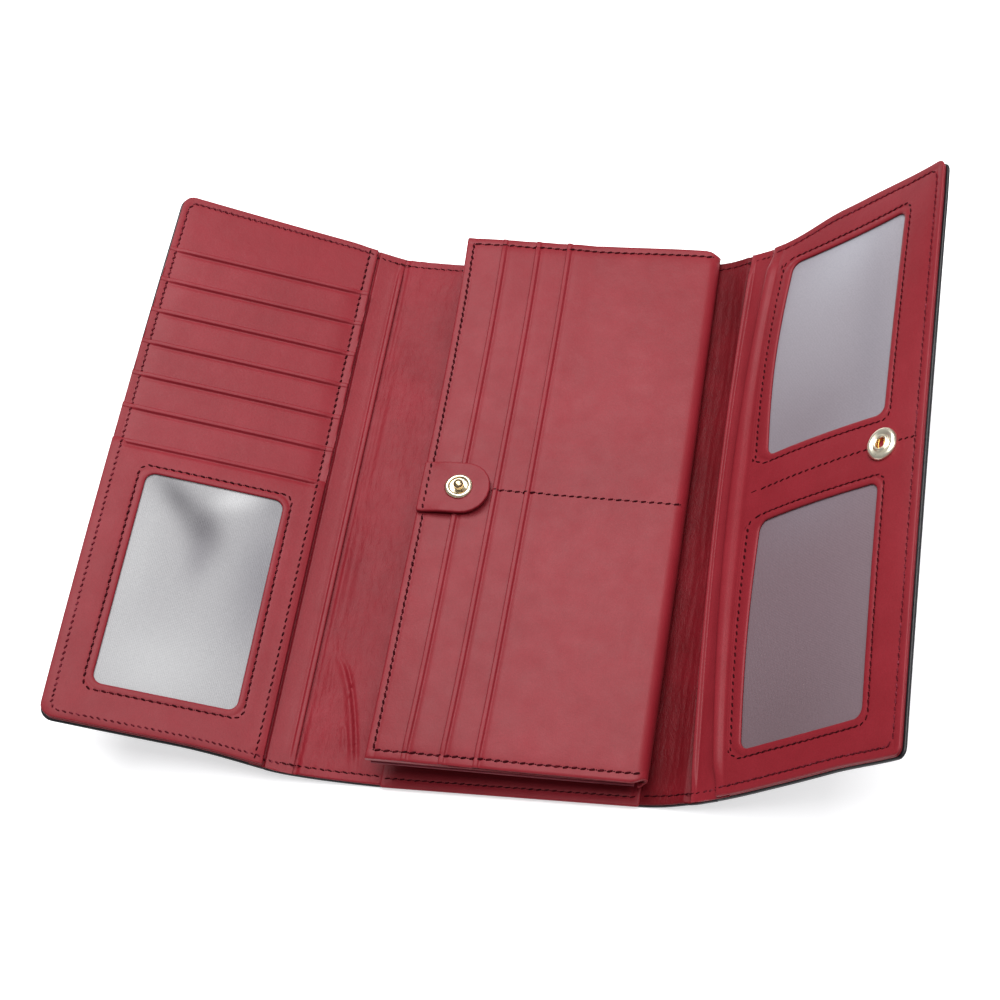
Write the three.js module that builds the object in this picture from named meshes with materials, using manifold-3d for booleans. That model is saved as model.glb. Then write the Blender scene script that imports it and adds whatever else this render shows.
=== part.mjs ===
// Trifold long wallet, lying open: a middle panel with a half-raised leaf, a left board with
// six card slots and one window, a right board with two windows and a ring snap.
// Millimetres, +Z up. X runs across the three panels, Y along the fold lines.
// The origin is the centre of the middle panel's underside.
import * as THREE from 'three';
import Module from 'manifold-3d';
import { mergeVertices } from 'three/addons/utils/BufferGeometryUtils.js';

const wasm = await Module();
wasm.setup();

// ---- driving dimensions ----
const LONG = 195;            // length along the fold lines
const HALF = LONG / 2;
const LEATHER = 0.9;         // outer cover leather
const LINING = 0.7;          // lining leather
const SLOT = 0.5;            // skived slot leather
const FILM = 0.3;            // window film
const AIR = 0.2;             // air between stacked layers
const INNER = LEATHER + AIR + LINING;   // height of the lining's face over the underside
const FOLD_GAP = 0.3;        // set-back of each panel from a fold line

const FOLD_L = -43.6;        // fold line between middle panel and left strip
const FOLD_R = 45.0;         // fold line between middle panel and right strip
const EDGE_L = [-68.0, 5.35];   // fold line between left strip and left board, X and Z
const EDGE_R = [56.7, 7.26];    // fold line between right strip and right board, X and Z
const BOARD_L_TILT = 23.9;   // left board's rise from the table, degrees
const BOARD_R_TILT = 37.2;   // right board's rise from the table, degrees
const BOARD_L = 80.4;        // left board's width
const BOARD_R = 79.6;        // right board's width
const CORNER = 5;            // radius of the boards' outer corners

// left board, measured outward from its fold line
const CARD_PANEL_L = 12.2;   // near edge of the card slots
const CARD_PANEL_R = BOARD_L - 0.6;
const SLOT_PITCH = 12.7;
const SLOT_TOP = 77.0;       // free edge of the first slot strip
const SLOT_COUNT = 6;
const SLOT_TUCK = 3.0;       // each strip runs on under the next one
const WINDOW_L = { u0: 22.15, u1: 67.5, v0: -82.0, v1: -8.1 };
const WINDOW_CORNER = 4.5;
const FILM_LAP = 3.2;        // film hidden under the window's frame

// right board, measured outward from its fold line
const WINDOW_PANEL_R = 10.8; // near edge of the window panel
const WINDOW_UP = { u0: 17.5, u1: 63.1, v0: 12.2, v1: 86.4 };
const WINDOW_LOW = { u0: 17.5, u1: 63.1, v0: -84.6, v1: -11.2 };
const SOCKET_AT = [63.2, 0.6];

// leaf
const LEAF_LEFT = -42.1;
const LEAF_RIGHT = 39.9;
const LEAF_TOP = 97.0;
const LEAF_BOTTOM = -93.8;
const LEAF_HEIGHT = 16.45;   // upper face at the leaf's left edge
const LEAF_SLOPE = 4.4;      // falls toward the spine, degrees
const LEAF_SLOTS = [10.7, 22.4, 33.2];   // free slot edges, from the leaf's left edge
const LEAF_FALL = 0.074;     // each slot strip sinks this much per mm toward the spine
const LEAF_FACE = 0.4;       // the slots' free edges stand this far over the measured face
const LEAF_BOARD = 2.9;      // underside of the leaf's board, below the slots' free edges
const LEAF_POCKET = 0.8;     // pocket between board and under panel
const SPINE_AT = [40.6, 6.5];
const SPINE_R = 3.3;
const SPINE_T = 1.2;

// snap
const TAB_T = 1.6;
const TAB = { x0: 0.2, x1: 23.2, y: -1.0, half: 9.1 };
const STUD_X = 13.2;
const STUD_R = 4.75;
const STUD_TOP = 4.4;        // ball's top over the slots' free edges
const SOCKET_R = 5.3;
const SOCKET_H = 1.7;

// ---- materials ----
const mat = (name, color, roughness, metalness = 0) =>
  Object.assign(new THREE.MeshStandardMaterial({ color, roughness, metalness }), { name });
const M = {
  outer: mat('outer_leather', 0x17151a, 0.42),
  red: mat('wine_leather', 0x9d3f4b, 0.5),
  film: mat('window_film', 0xb4b4b4, 0.35),
  gold: mat('pale_gold', 0xd9bd83, 0.25, 1),
  steel: mat('hidden_metal', 0xb59a5c, 0.4, 1),
};

// ---- solids ----
const rad = (d) => (d * Math.PI) / 180;

function roundedShape(x0, y0, x1, y1, radii) {
  // radii: bottom left, bottom right, top right, top left
  const [a, b, c, d] = radii;
  const s = new THREE.Shape();
  s.moveTo(x0 + a, y0);
  s.lineTo(x1 - b, y0);
  if (b) s.absarc(x1 - b, y0 + b, b, -Math.PI / 2, 0, false);
  s.lineTo(x1, y1 - c);
  if (c) s.absarc(x1 - c, y1 - c, c, 0, Math.PI / 2, false);
  s.lineTo(x0 + d, y1);
  if (d) s.absarc(x0 + d, y1 - d, d, Math.PI / 2, Math.PI, false);
  s.lineTo(x0, y0 + a);
  if (a) s.absarc(x0 + a, y0 + a, a, Math.PI, 1.5 * Math.PI, false);
  return s;
}

function plate(shape, w0, w1, segments = 6) {
  const g = new THREE.ExtrudeGeometry(shape, { depth: w1 - w0, bevelEnabled: false, curveSegments: segments });
  g.translate(0, 0, w0);
  return g;
}

// a strip with its profile in (v, w), extruded along u from u0 to u1
function acrossU(points, u0, u1) {
  const s = new THREE.Shape(points.map(([v, w]) => new THREE.Vector2(v, w)));
  const g = new THREE.ExtrudeGeometry(s, { depth: u1 - u0, bevelEnabled: false });
  // shape X -> Y, shape Y -> Z, depth -> X
  g.applyMatrix4(new THREE.Matrix4().set(0, 0, 1, u0, 1, 0, 0, 0, 0, 1, 0, 0, 0, 0, 0, 1));
  return g;
}

// a strip with its profile in (x, z), extruded along Y from y0 to y1
function acrossY(points, y0, y1) {
  const s = new THREE.Shape(points.map(([x, z]) => new THREE.Vector2(x, z)));
  const g = new THREE.ExtrudeGeometry(s, { depth: y1 - y0, bevelEnabled: false });
  // shape X -> X, shape Y -> Z, depth -> -Y
  g.applyMatrix4(new THREE.Matrix4().set(1, 0, 0, 0, 0, 0, -1, y1, 0, 1, 0, 0, 0, 0, 0, 1));
  return g;
}

function solid(geometry) {
  let g = geometry.clone();
  g.deleteAttribute('normal');
  g.deleteAttribute('uv');
  g = mergeVertices(g, 1e-5);
  const mesh = new wasm.Mesh({
    numProp: 3,
    vertProperties: Float32Array.from(g.attributes.position.array),
    triVerts: Uint32Array.from(g.index.array),
  });
  return new wasm.Manifold(mesh);
}

function geometryOf(manifold) {
  const m = manifold.getMesh();
  const g = new THREE.BufferGeometry();
  g.setAttribute('position', new THREE.BufferAttribute(new Float32Array(m.vertProperties), 3));
  g.setIndex(new THREE.BufferAttribute(new Uint32Array(m.triVerts), 1));
  g.computeVertexNormals();
  return g;
}

const cut = (geometry, ...tools) =>
  geometryOf(tools.reduce((s, t) => s.subtract(solid(t)), solid(geometry)));

function add(group, name, geometry, material) {
  const mesh = new THREE.Mesh(geometry, material);
  mesh.name = name;
  group.add(mesh);
  return mesh;
}

function lathe(profile, segments = 32) {
  const g = new THREE.LatheGeometry(profile.map(([r, z]) => new THREE.Vector2(r, z)), segments);
  g.rotateX(Math.PI / 2);   // the axis from Y to Z
  return g;
}

function roundHole(x, y, r, w0, w1) {
  const g = new THREE.CylinderGeometry(r, r, w1 - w0, 24);
  g.rotateX(Math.PI / 2);
  g.translate(x, y, (w0 + w1) / 2);
  return g;
}

const windowShape = (w, grow, side) =>
  roundedShape(
    side > 0 ? w.u0 - grow : -w.u1 - grow, w.v0 - grow,
    side > 0 ? w.u1 + grow : -w.u0 + grow, w.v1 + grow,
    Array(4).fill(Math.max(0.5, WINDOW_CORNER + grow * 0.5)),
  );

const wallet = new THREE.Group();
const rect = (x0, y0, x1, y1, radii = [0, 0, 0, 0]) => roundedShape(x0, y0, x1, y1, radii);

// ---- middle panel ----
const centre = new THREE.Group();
wallet.add(centre);
const cx0 = FOLD_L + FOLD_GAP, cx1 = FOLD_R - FOLD_GAP;
add(centre, 'outer_centre', plate(rect(cx0, -HALF, cx1, HALF), 0, LEATHER), M.outer);
add(centre, 'lining_centre', plate(rect(cx0, -HALF, cx1, HALF), LEATHER + AIR, INNER), M.red);
const PAGE_TOP = INNER + AIR + LINING;
add(centre, 'base_page',
  plate(rect(-40.5, -HALF - 0.6, 40.1, HALF - 1.5, [1, 1, 1, 1]), INNER + AIR, PAGE_TOP), M.red);

// ---- leaf: its own slanted frame, X along the leaf from its left edge, Z out of its face,
// zero at the slots' free edges ----
const leaf = new THREE.Group();
leaf.position.set(LEAF_LEFT, 0, LEAF_HEIGHT + LEAF_FACE);
leaf.rotation.y = rad(LEAF_SLOPE);
centre.add(leaf);
const leafLength = (LEAF_RIGHT - LEAF_LEFT) / Math.cos(rad(LEAF_SLOPE));
const [s1, s2, s3] = LEAF_SLOTS;
const strip = (x0, x1, z0, z1, under) => [
  [x0, z0 - under], [x1, z1 - under], [x1, z1], [x0, z0],
];
add(leaf, 'leaf_slot_1',
  acrossY(strip(s1, s2 + 3.2, 0, -LEAF_FALL * (s2 + 3.2 - s1), SLOT), LEAF_BOTTOM, LEAF_TOP), M.red);
add(leaf, 'leaf_slot_2',
  acrossY(strip(s2, s3 + 3.2, 0, -LEAF_FALL * (s3 + 3.2 - s2), SLOT), LEAF_BOTTOM, LEAF_TOP), M.red);
const flat = s3 + 10.8;     // the front layer lies flat from here on
const low = -LEAF_FALL * (flat - s3);
add(leaf, 'leaf_front_panel', acrossY([
  [s3, -SLOT], [flat, low - SLOT], [leafLength, low - SLOT],
  [leafLength, low], [flat, low], [s3, 0],
], LEAF_BOTTOM, LEAF_TOP), M.red);
const boardFace = -SLOT - AIR;
const boardBend = s2 + 3.2;
const boardLow = boardFace - LEAF_FALL * (boardBend - s1);
add(leaf, 'leaf_board', acrossY([
  [0, -LEAF_BOARD], [leafLength, -LEAF_BOARD], [leafLength, boardLow], [boardBend, boardLow],
  [s1, boardFace], [0, boardFace],
], LEAF_BOTTOM, LEAF_TOP), M.red);
const underTop = -LEAF_BOARD - LEAF_POCKET;
add(leaf, 'leaf_under_panel',
  plate(rect(0.8, LEAF_BOTTOM + 0.6, leafLength, LEAF_TOP - 0.6, [1, 0, 0, 1]), underTop - SLOT, underTop), M.red);

// rounded binding from the leaf down to the lining
const arc = [];
const ARC_STEPS = 14;
for (let i = 0; i <= ARC_STEPS; i++) {
  const a = rad(-90 + (180 * i) / ARC_STEPS);
  arc.push([SPINE_AT[0] + SPINE_R * Math.cos(a), SPINE_AT[1] + SPINE_R * Math.sin(a)]);
}
for (let i = ARC_STEPS; i >= 0; i--) {
  const a = rad(-90 + (180 * i) / ARC_STEPS), r = SPINE_R - SPINE_T;
  arc.push([SPINE_AT[0] + r * Math.cos(a), SPINE_AT[1] + r * Math.sin(a)]);
}
add(centre, 'leaf_spine', acrossY(arc, LEAF_BOTTOM, LEAF_TOP - 0.4), M.red);

// tongue with the stud
const tab = plate(rect(TAB.x0, TAB.y - TAB.half, TAB.x1, TAB.y + TAB.half, [0.8, 8.9, 8.9, 0.8]), AIR, AIR + TAB_T, 8);
add(leaf, 'snap_tab', cut(tab,
  roundHole(STUD_X, TAB.y, 1.4, 0, 4), roundHole(STUD_X, TAB.y, 4.0, 0, AIR + 0.8)), M.red);
const studBase = AIR + TAB_T + 0.2;
const stud = lathe([
  [0, 0.4], [1.1, 0.4], [1.1, studBase], [STUD_R - 0.3, studBase], [STUD_R, studBase + 0.3],
  [STUD_R - 0.1, studBase + 0.75], [STUD_R - 0.55, studBase + 0.95], [STUD_R - 1.1, studBase + 0.8],
  [STUD_R - 1.5, studBase + 0.45], [1.55, studBase + 0.45], [1.4, studBase + 1.0],
  [1.75, studBase + 1.45], [1.75, STUD_TOP - 0.55], [1.4, STUD_TOP - 0.15], [0.8, STUD_TOP], [0, STUD_TOP],
]);
stud.translate(STUD_X, TAB.y, 0);
add(leaf, 'snap_stud', stud, M.gold);
const ringWasher = (r0, r1, z0, z1) => lathe([[r0, z0], [r1, z0], [r1, z1], [r0, z1], [r0, z0]]);
const studWasher = ringWasher(1.4, 3.7, AIR + 0.12, AIR + 0.5);
studWasher.translate(STUD_X, TAB.y, 0);
add(leaf, 'snap_stud_washer', studWasher, M.steel);

// ---- fold strips ----
function foldStrip(side, from, to, names) {
  const dx = Math.abs(to[0] - from[0]), dz = to[1] - from[1];
  const length = Math.hypot(dx, dz);
  const g = new THREE.Group();
  g.position.set(from[0], 0, from[1]);
  g.rotation.y = -side * Math.atan2(dz, dx);
  const a = side > 0 ? FOLD_GAP : -length + FOLD_GAP;
  const b = side > 0 ? length - FOLD_GAP : -FOLD_GAP;
  add(g, names[0], plate(rect(a, -HALF, b, HALF), -INNER, LEATHER - INNER), M.outer);
  add(g, names[1], plate(rect(a, -HALF + 0.2, b, HALF - 0.2), LEATHER + AIR - INNER, 0), M.red);
  wallet.add(g);
}
foldStrip(-1, [FOLD_L, INNER], EDGE_L, ['outer_left_fold', 'lining_left_fold']);
foldStrip(1, [FOLD_R, INNER], EDGE_R, ['outer_right_fold', 'lining_right_fold']);

// ---- boards: X outward from the fold line, Z out of the inner face, zero at the cover's outside ----
function board(side, at, tilt) {
  const g = new THREE.Group();
  g.position.set(at[0], 0, at[1]);
  g.rotation.y = -side * rad(tilt);
  const stack = new THREE.Group();
  stack.position.z = -INNER;
  g.add(stack);
  wallet.add(g);
  return stack;
}
// a panel from u0 to u1 outward, with rounded outer corners
const panel = (side, u0, u1, v0, v1, r) =>
  side > 0 ? rect(u0, v0, u1, v1, [0, r, r, 0]) : rect(-u1, v0, -u0, v1, [r, 0, 0, r]);

// left board
const left = board(-1, EDGE_L, BOARD_L_TILT);
add(left, 'outer_left_wing', plate(panel(-1, FOLD_GAP, BOARD_L, -HALF, HALF, CORNER), 0, LEATHER), M.outer);
add(left, 'left_slip_panel',
  plate(panel(-1, FOLD_GAP, BOARD_L - 0.4, -HALF + 0.3, HALF - 0.3, CORNER - 0.3), LEATHER + AIR, INNER), M.red);
const backTop = INNER + AIR + SLOT;
add(left, 'left_card_backing',
  plate(panel(-1, CARD_PANEL_L, BOARD_L - 0.5, -HALF + 0.4, HALF - 0.4, CORNER - 0.4), INNER + AIR, backTop), M.red);
const stripRise = (SLOT + AIR) / SLOT_PITCH;
const stripFoot = backTop + AIR;
for (let k = 0; k < SLOT_COUNT; k++) {
  const v1 = SLOT_TOP - k * SLOT_PITCH;
  const v0 = v1 - SLOT_PITCH - SLOT_TUCK;
  const rise = stripRise * (v1 - v0);
  add(left, `left_card_slot_${k + 1}`, acrossU([
    [v0, stripFoot], [v1, stripFoot + rise], [v1, stripFoot + rise + SLOT], [v0, stripFoot + SLOT],
  ], -CARD_PANEL_R, -CARD_PANEL_L), M.red);
}
const windowTop = SLOT_TOP - SLOT_COUNT * SLOT_PITCH;
const frameFoot = stripFoot + SLOT + AIR + 0.25;
add(left, 'left_window_panel', cut(
  plate(panel(-1, CARD_PANEL_L, CARD_PANEL_R, -HALF + 0.5, windowTop, 0.01), frameFoot, frameFoot + SLOT),
  plate(windowShape(WINDOW_L, 0, -1), frameFoot - 1, frameFoot + 2),
  plate(rect(-CARD_PANEL_R - 1, -HALF - 1, -CARD_PANEL_R + 2.2, -HALF + 2.6), frameFoot - 1, frameFoot + 2),
), M.red);
add(left, 'left_window_film',
  plate(windowShape(WINDOW_L, FILM_LAP, -1), frameFoot - 0.2 - FILM, frameFoot - 0.2), M.film);

// right board
const right = board(1, EDGE_R, BOARD_R_TILT);
add(right, 'outer_right_wing', plate(panel(1, FOLD_GAP, BOARD_R, -HALF, HALF, CORNER), 0, LEATHER), M.outer);
add(right, 'right_slip_panel',
  plate(panel(1, FOLD_GAP, BOARD_R - 0.4, -HALF + 0.3, HALF - 0.3, CORNER - 0.3), LEATHER + AIR, INNER), M.red);
const frameR = INNER + 0.2 + FILM + 0.2;
add(right, 'right_window_panel', cut(
  plate(panel(1, WINDOW_PANEL_R, BOARD_R - 0.5, -HALF + 0.4, HALF - 0.4, CORNER - 0.4), frameR, frameR + SLOT + 0.1),
  plate(windowShape(WINDOW_UP, 0, 1), frameR - 1, frameR + 2),
  plate(windowShape(WINDOW_LOW, 0, 1), frameR - 1, frameR + 2),
  roundHole(SOCKET_AT[0], SOCKET_AT[1], 2.3, frameR - 1, frameR + 2),
), M.red);
add(right, 'right_window_film_upper',
  plate(windowShape(WINDOW_UP, FILM_LAP, 1), INNER + 0.2, INNER + 0.2 + FILM), M.film);
add(right, 'right_window_film_lower',
  plate(windowShape(WINDOW_LOW, FILM_LAP, 1), INNER + 0.2, INNER + 0.2 + FILM), M.film);
const socketFoot = frameR + SLOT + 0.1 + 0.15;
const socket = lathe([
  [1.55, frameR - 0.1], [2.05, frameR - 0.1], [2.05, socketFoot], [SOCKET_R - 0.4, socketFoot],
  [SOCKET_R, socketFoot + 0.35], [SOCKET_R - 0.1, socketFoot + 0.9], [SOCKET_R - 0.7, socketFoot + 1.3],
  [SOCKET_R - 1.6, socketFoot + 1.2], [SOCKET_R - 1.9, socketFoot + SOCKET_H - 0.3],
  [SOCKET_R - 2.3, socketFoot + SOCKET_H], [2.3, socketFoot + SOCKET_H - 0.1],
  [2.0, socketFoot + SOCKET_H - 0.6], [1.55, socketFoot + SOCKET_H - 0.9], [1.55, frameR - 0.1],
]);
socket.translate(SOCKET_AT[0], SOCKET_AT[1], 0);
add(right, 'snap_socket', socket, M.gold);
const socketWasher = ringWasher(1.6, 4.2, INNER + 0.12, frameR - 0.2);
socketWasher.translate(SOCKET_AT[0], SOCKET_AT[1], 0);
add(right, 'snap_socket_washer', socketWasher, M.steel);

export default wallet;
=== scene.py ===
import math
import random

import bpy
import numpy as np
from mathutils import Matrix, Vector
from mathutils.geometry import delaunay_2d_cdt


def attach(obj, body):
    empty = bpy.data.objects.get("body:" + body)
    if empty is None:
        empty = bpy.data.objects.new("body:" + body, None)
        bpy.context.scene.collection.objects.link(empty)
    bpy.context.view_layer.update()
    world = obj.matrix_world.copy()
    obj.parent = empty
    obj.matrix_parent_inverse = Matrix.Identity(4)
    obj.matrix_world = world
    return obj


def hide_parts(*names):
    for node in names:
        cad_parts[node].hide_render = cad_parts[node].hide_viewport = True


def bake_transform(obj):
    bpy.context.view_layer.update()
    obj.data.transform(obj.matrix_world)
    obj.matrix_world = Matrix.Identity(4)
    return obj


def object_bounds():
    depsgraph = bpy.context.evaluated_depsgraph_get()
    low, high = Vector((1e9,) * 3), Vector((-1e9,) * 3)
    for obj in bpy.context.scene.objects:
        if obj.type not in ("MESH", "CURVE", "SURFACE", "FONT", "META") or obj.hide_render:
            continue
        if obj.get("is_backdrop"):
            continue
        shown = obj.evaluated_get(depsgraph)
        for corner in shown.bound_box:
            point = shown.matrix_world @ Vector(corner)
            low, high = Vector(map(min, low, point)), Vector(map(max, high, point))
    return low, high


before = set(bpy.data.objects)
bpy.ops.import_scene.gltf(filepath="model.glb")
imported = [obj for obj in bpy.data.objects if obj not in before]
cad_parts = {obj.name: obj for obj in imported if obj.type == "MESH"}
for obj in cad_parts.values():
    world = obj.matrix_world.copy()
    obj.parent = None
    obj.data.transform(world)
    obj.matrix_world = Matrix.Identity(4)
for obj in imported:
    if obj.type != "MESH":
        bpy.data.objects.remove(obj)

CAD_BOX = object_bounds()
MM = 0.001
rng = random.Random(7)

# ------------------------------------------------------------------ sizes, millimetres
HALF = 97.5
INNER = 1.8                       # lining face over the underside
FOLD_L, FOLD_R = -43.6, 45.0
BL, BR = (-68.0, 5.35), (56.7, 7.26)
TILT_L, TILT_R = math.radians(23.9), math.radians(37.2)
BOARD_L, BOARD_R = 80.4, 79.6
LEAF = math.radians(4.4)
LEAF_END = 82.24


def smooth(a, b, x):
    t = np.clip((np.asarray(x, float) - a) / (b - a), 0, 1)
    return t * t * (3 - 2 * t)


def bump(x, c, s):
    return np.exp(-((np.asarray(x, float) - c) / s) ** 2)


# ------------------------------------------------------------------ local frames
def left(u, v, w):
    """Left board: u outward from its fold line, v along the fold, w out of the cover."""
    u, v, w = (np.asarray(k, float) for k in (u, v, w))
    t, s = u / BOARD_L, v / HALF
    out = 4 * t * (1 - t) * (-0.26 + 0.63 * (1 - s * s)) + 0.785 * t * s + 0.07 * t * t
    k = w - INNER + out
    v = v + (4.0 * t + 1.0 * smooth(5, 20, u)) * smooth(84, 97, v) + 1.7 * smooth(0, 40, u) * smooth(-84, -97, v)
    u = u + 0.9 * (1 - s * s) * smooth(66, 80, u)
    x = BL[0] - u * math.cos(TILT_L) + k * math.sin(TILT_L) - 0.0116 * v * smooth(0, 30, u)
    y = v + (0.52 - 0.0119 * u) * smooth(0, 30, u)
    z = BL[1] + u * math.sin(TILT_L) + k * math.cos(TILT_L)
    return np.stack(np.broadcast_arrays(x, y, z), -1)


def right(u, v, w):
    u, v, w = (np.asarray(k, float) for k in (u, v, w))
    t, s = u / BOARD_R, v / HALF
    g = 1 - s * s
    out = 4 * t * (1 - t) * (-3.1 + 5.29 * g - 0.89 * s) - 1.77 * t * s - 1.24 * t * t - 3.94 * t * g
    k = w - INNER + out
    # the two free edges next to the fold, and each window's inner edge, bow towards the fold
    bow = -2.94 * g * t ** 3 - np.interp(u, [0, 10.8, 13.5, 17.5], [2.7, 5.5, 2.5, 0]) * g - np.interp(u, [0, 10.8, 13.5, 17.5], [0.9, 2.1, 1.2, 0]) - np.interp(u, [0, 10.8, 13.5, 17.5], [0, 0.6, 0.3, 0]) * s
    arch = 2.2 * np.sin(np.pi * np.clip((v - 12.2) / 74.2, 0, 1)) + 1.1 * np.sin(np.pi * np.clip((-11.2 - v) / 73.4, 0, 1))
    bow = bow - np.interp(u, [10.8, 17.5, 32, 50], [0, 1, 0.35, 0]) * arch
    bow = bow - t ** 5 * (1.2 + 1.1 * np.maximum(0, 1 - 0.8 * (s + 0.25) ** 2))
    own = smooth(-1, 0.2, u)
    u = u + bow * smooth(-6, 1, u)
    k = k + 0.25 * np.maximum(0, -u) * own      # the bowed free edge lies on the fold leather
    x = BR[0] + u * math.cos(TILT_R) - k * math.sin(TILT_R) - 0.0044 * v
    v = v + (3.6 * smooth(12, 36, u) - 2.7 * smooth(46, 84, u)) * smooth(87, 97, v) - 1.8 * smooth(50, 80, u) * smooth(-86, -97, v)
    y = v + (-0.27 + 0.0317 * u) * smooth(0, 30, u)
    z = BR[1] + u * math.sin(TILT_R) + k * math.cos(TILT_R)
    return np.stack(np.broadcast_arrays(x, y, z), -1)


def leaf(u, v, w):
    u, v, w = (np.asarray(k, float) for k in (u, v, w))
    x = -42.1 + u * math.cos(LEAF) + w * math.sin(LEAF) + 0.0042 * v + 0.72
    x = x + np.interp(u, [0, 3, 10.7, 24, 36, 60], [0.4, 0.5, 1.6, 1.5, 1.1, 0]) * (1 - 0.7 * (v / 97) ** 4)
    x = x - 1.5 * np.clip(v / 97, 0, 1) ** 3 * (1 - smooth(0, 10.7, u))
    y = v - 0.48 + 1.1 * smooth(40, 80, u) * smooth(80, 98, v)
    z = 16.85 - u * math.sin(LEAF) + w * math.cos(LEAF) + 1.04 - 1.38 * (u / 82) - (u / 82) * np.where(v > 0, 2.4, 3.52) * (v / 97)
    return np.stack(np.broadcast_arrays(x, y, z), -1)


def strip_path(side):
    """Fold leather's inner face from the middle panel to the board: a smooth curve through the two fold lines."""
    fold = FOLD_L if side < 0 else FOLD_R
    edge = BL if side < 0 else BR
    tilt = TILT_L if side < 0 else TILT_R
    p0 = np.array([abs(fold), INNER])
    p3 = np.array([abs(edge[0]), edge[1]])
    return p0, p3, tilt


def band(side):
    """Distance along the cover from the middle's fold line -> (x, z) of the inner face."""
    p0, p3, tilt = strip_path(side)
    a, b = p0 - np.array([7.0, 0]), p3 + 7.0 * np.array([math.cos(tilt), math.sin(tilt)])
    lean = math.atan2(p3[1] - p0[1], p3[0] - p0[0])
    m = (p0 + p3) / 2
    d = np.array([math.cos(lean), math.sin(lean)])
    pts = []
    for s in np.linspace(0, 1, 60):          # bend round the first fold line
        q0, q1, q2 = a, p0, m
        pts.append((1 - s) ** 2 * q0 + 2 * s * (1 - s) * q1 + s * s * q2)
    for s in np.linspace(0, 1, 60)[1:]:      # and round the second
        q0, q1, q2 = m, p3, b
        pts.append((1 - s) ** 2 * q0 + 2 * s * (1 - s) * q1 + s * s * q2)
    pts = np.array(pts)
    length = np.concatenate([[0], np.cumsum(np.hypot(*np.diff(pts, axis=0).T))])
    mid = length[59]
    return pts, length, mid


BAND = {s: band(s) for s in (-1, 1)}


def cover(side):
    """A map (s, v, w) over the whole side: s runs out from x = 0 through the fold to the board's edge."""
    pts, length, mid = BAND[side]
    start = pts[0][0]
    total = length[-1]
    board = left if side < 0 else right

    def at(s, v, w):
        s, v, w = np.broadcast_arrays(*(np.asarray(k, float) for k in (s, v, w)))
        out = np.zeros(s.shape + (3,))
        inside = s <= start
        out[inside] = np.stack([side * s[inside], v[inside], w[inside]], -1)
        beyond = s >= start + total
        out[beyond] = board(s[beyond] - start - total + 7.0, v[beyond], w[beyond])
        m = ~inside & ~beyond
        if m.any():
            q = s[m] - start
            x, z = np.interp(q, length, pts[:, 0]), np.interp(q, length, pts[:, 1])
            h = 0.4
            dx = np.interp(np.minimum(q + h, total), length, pts[:, 0]) - np.interp(np.maximum(q - h, 0), length, pts[:, 0])
            dz = np.interp(np.minimum(q + h, total), length, pts[:, 1]) - np.interp(np.maximum(q - h, 0), length, pts[:, 1])
            n = np.hypot(dx, dz)
            nx, nz = -dz / n, dx / n
            k = w[m] - INNER
            flat = np.stack([side * (x + nx * k), v[m], z + nz * k], -1)
            # ease into the board's own slight warp
            e = smooth(0.55, 1.0, q / total)[:, None]
            u = q - total + 7.0
            warp = board(u, v[m], w[m]) - board(u, np.zeros_like(u), w[m]) - np.stack([0 * u, v[m], 0 * u], -1)
            base = board(7.0, 0, INNER) - np.array([side * pts[-1][0], 0, pts[-1][1]])
            out[m] = flat + e * (warp + base)
        return out
    at.start, at.total, at.mid = start, total, start + mid
    at.fold2 = start + total - 7.0            # near the board's fold line
    return at


COVER = {s: cover(s) for s in (-1, 1)}

# ------------------------------------------------------------------ mesh helpers
PIECES = []


def make(name, verts, faces, material, body=None, shade=True, replaces=(), slot=None):
    me = bpy.data.meshes.new(name)
    me.from_pydata([tuple(p) for p in (np.asarray(verts) * MM)], [], faces)
    me.validate()
    me.update()
    ob = bpy.data.objects.new(name, me)
    bpy.context.scene.collection.objects.link(ob)
    me.materials.append(material)
    me.polygons.foreach_set("use_smooth", [shade] * len(me.polygons))
    if body:
        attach(ob, body)
    if replaces:
        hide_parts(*replaces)
    PIECES.append(ob)
    return ob


def recalc(ob):
    import bmesh
    bm = bmesh.new()
    bm.from_mesh(ob.data)
    bmesh.ops.recalc_face_normals(bm, faces=bm.faces)
    bm.to_mesh(ob.data)
    bm.free()
    ob.data.update()
    return ob


def loop_points(x0, y0, x1, y1, r, inset, arc=7, step=3.0):
    """A rounded rectangle's outline, inset by a distance, always with the same number of points."""
    radii = [r] * 4 if np.isscalar(r) else list(r)
    pts = []
    corners = [(x1, y0, -90), (x1, y1, 0), (x0, y1, 90), (x0, y0, 180)]
    sx = [-1, -1, 1, 1]
    sy = [1, -1, -1, 1]
    arcs = []
    for (cx, cy, a0), ix, iy, rad in zip(corners, sx, sy, radii):
        c = np.array([cx + ix * rad, cy + iy * rad])
        rr = rad - inset
        n = arc if rad > 0.8 else 2
        if rr < 0.05:
            # the outline's corner has closed up: keep the points, a hair apart
            c = np.array([cx + ix * inset, cy + iy * inset]) + np.array([ix, iy]) * 0.05
            rr = 0.05
        arcs.append([c + rr * np.array([math.cos(math.radians(a0 + 90 * k / (n - 1))), math.sin(math.radians(a0 + 90 * k / (n - 1)))]) for k in range(n)])
    full = [(x1 - x0), (y1 - y0)]
    for i in range(4):
        pts += arcs[i]
        a, b = arcs[i][-1], arcs[(i + 1) % 4][0]
        side = full[0] if i % 2 else full[1]
        n = max(1, int(side / step))
        pts += [a + (b - a) * k / n for k in range(1, n)]
    return np.array(pts)


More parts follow.
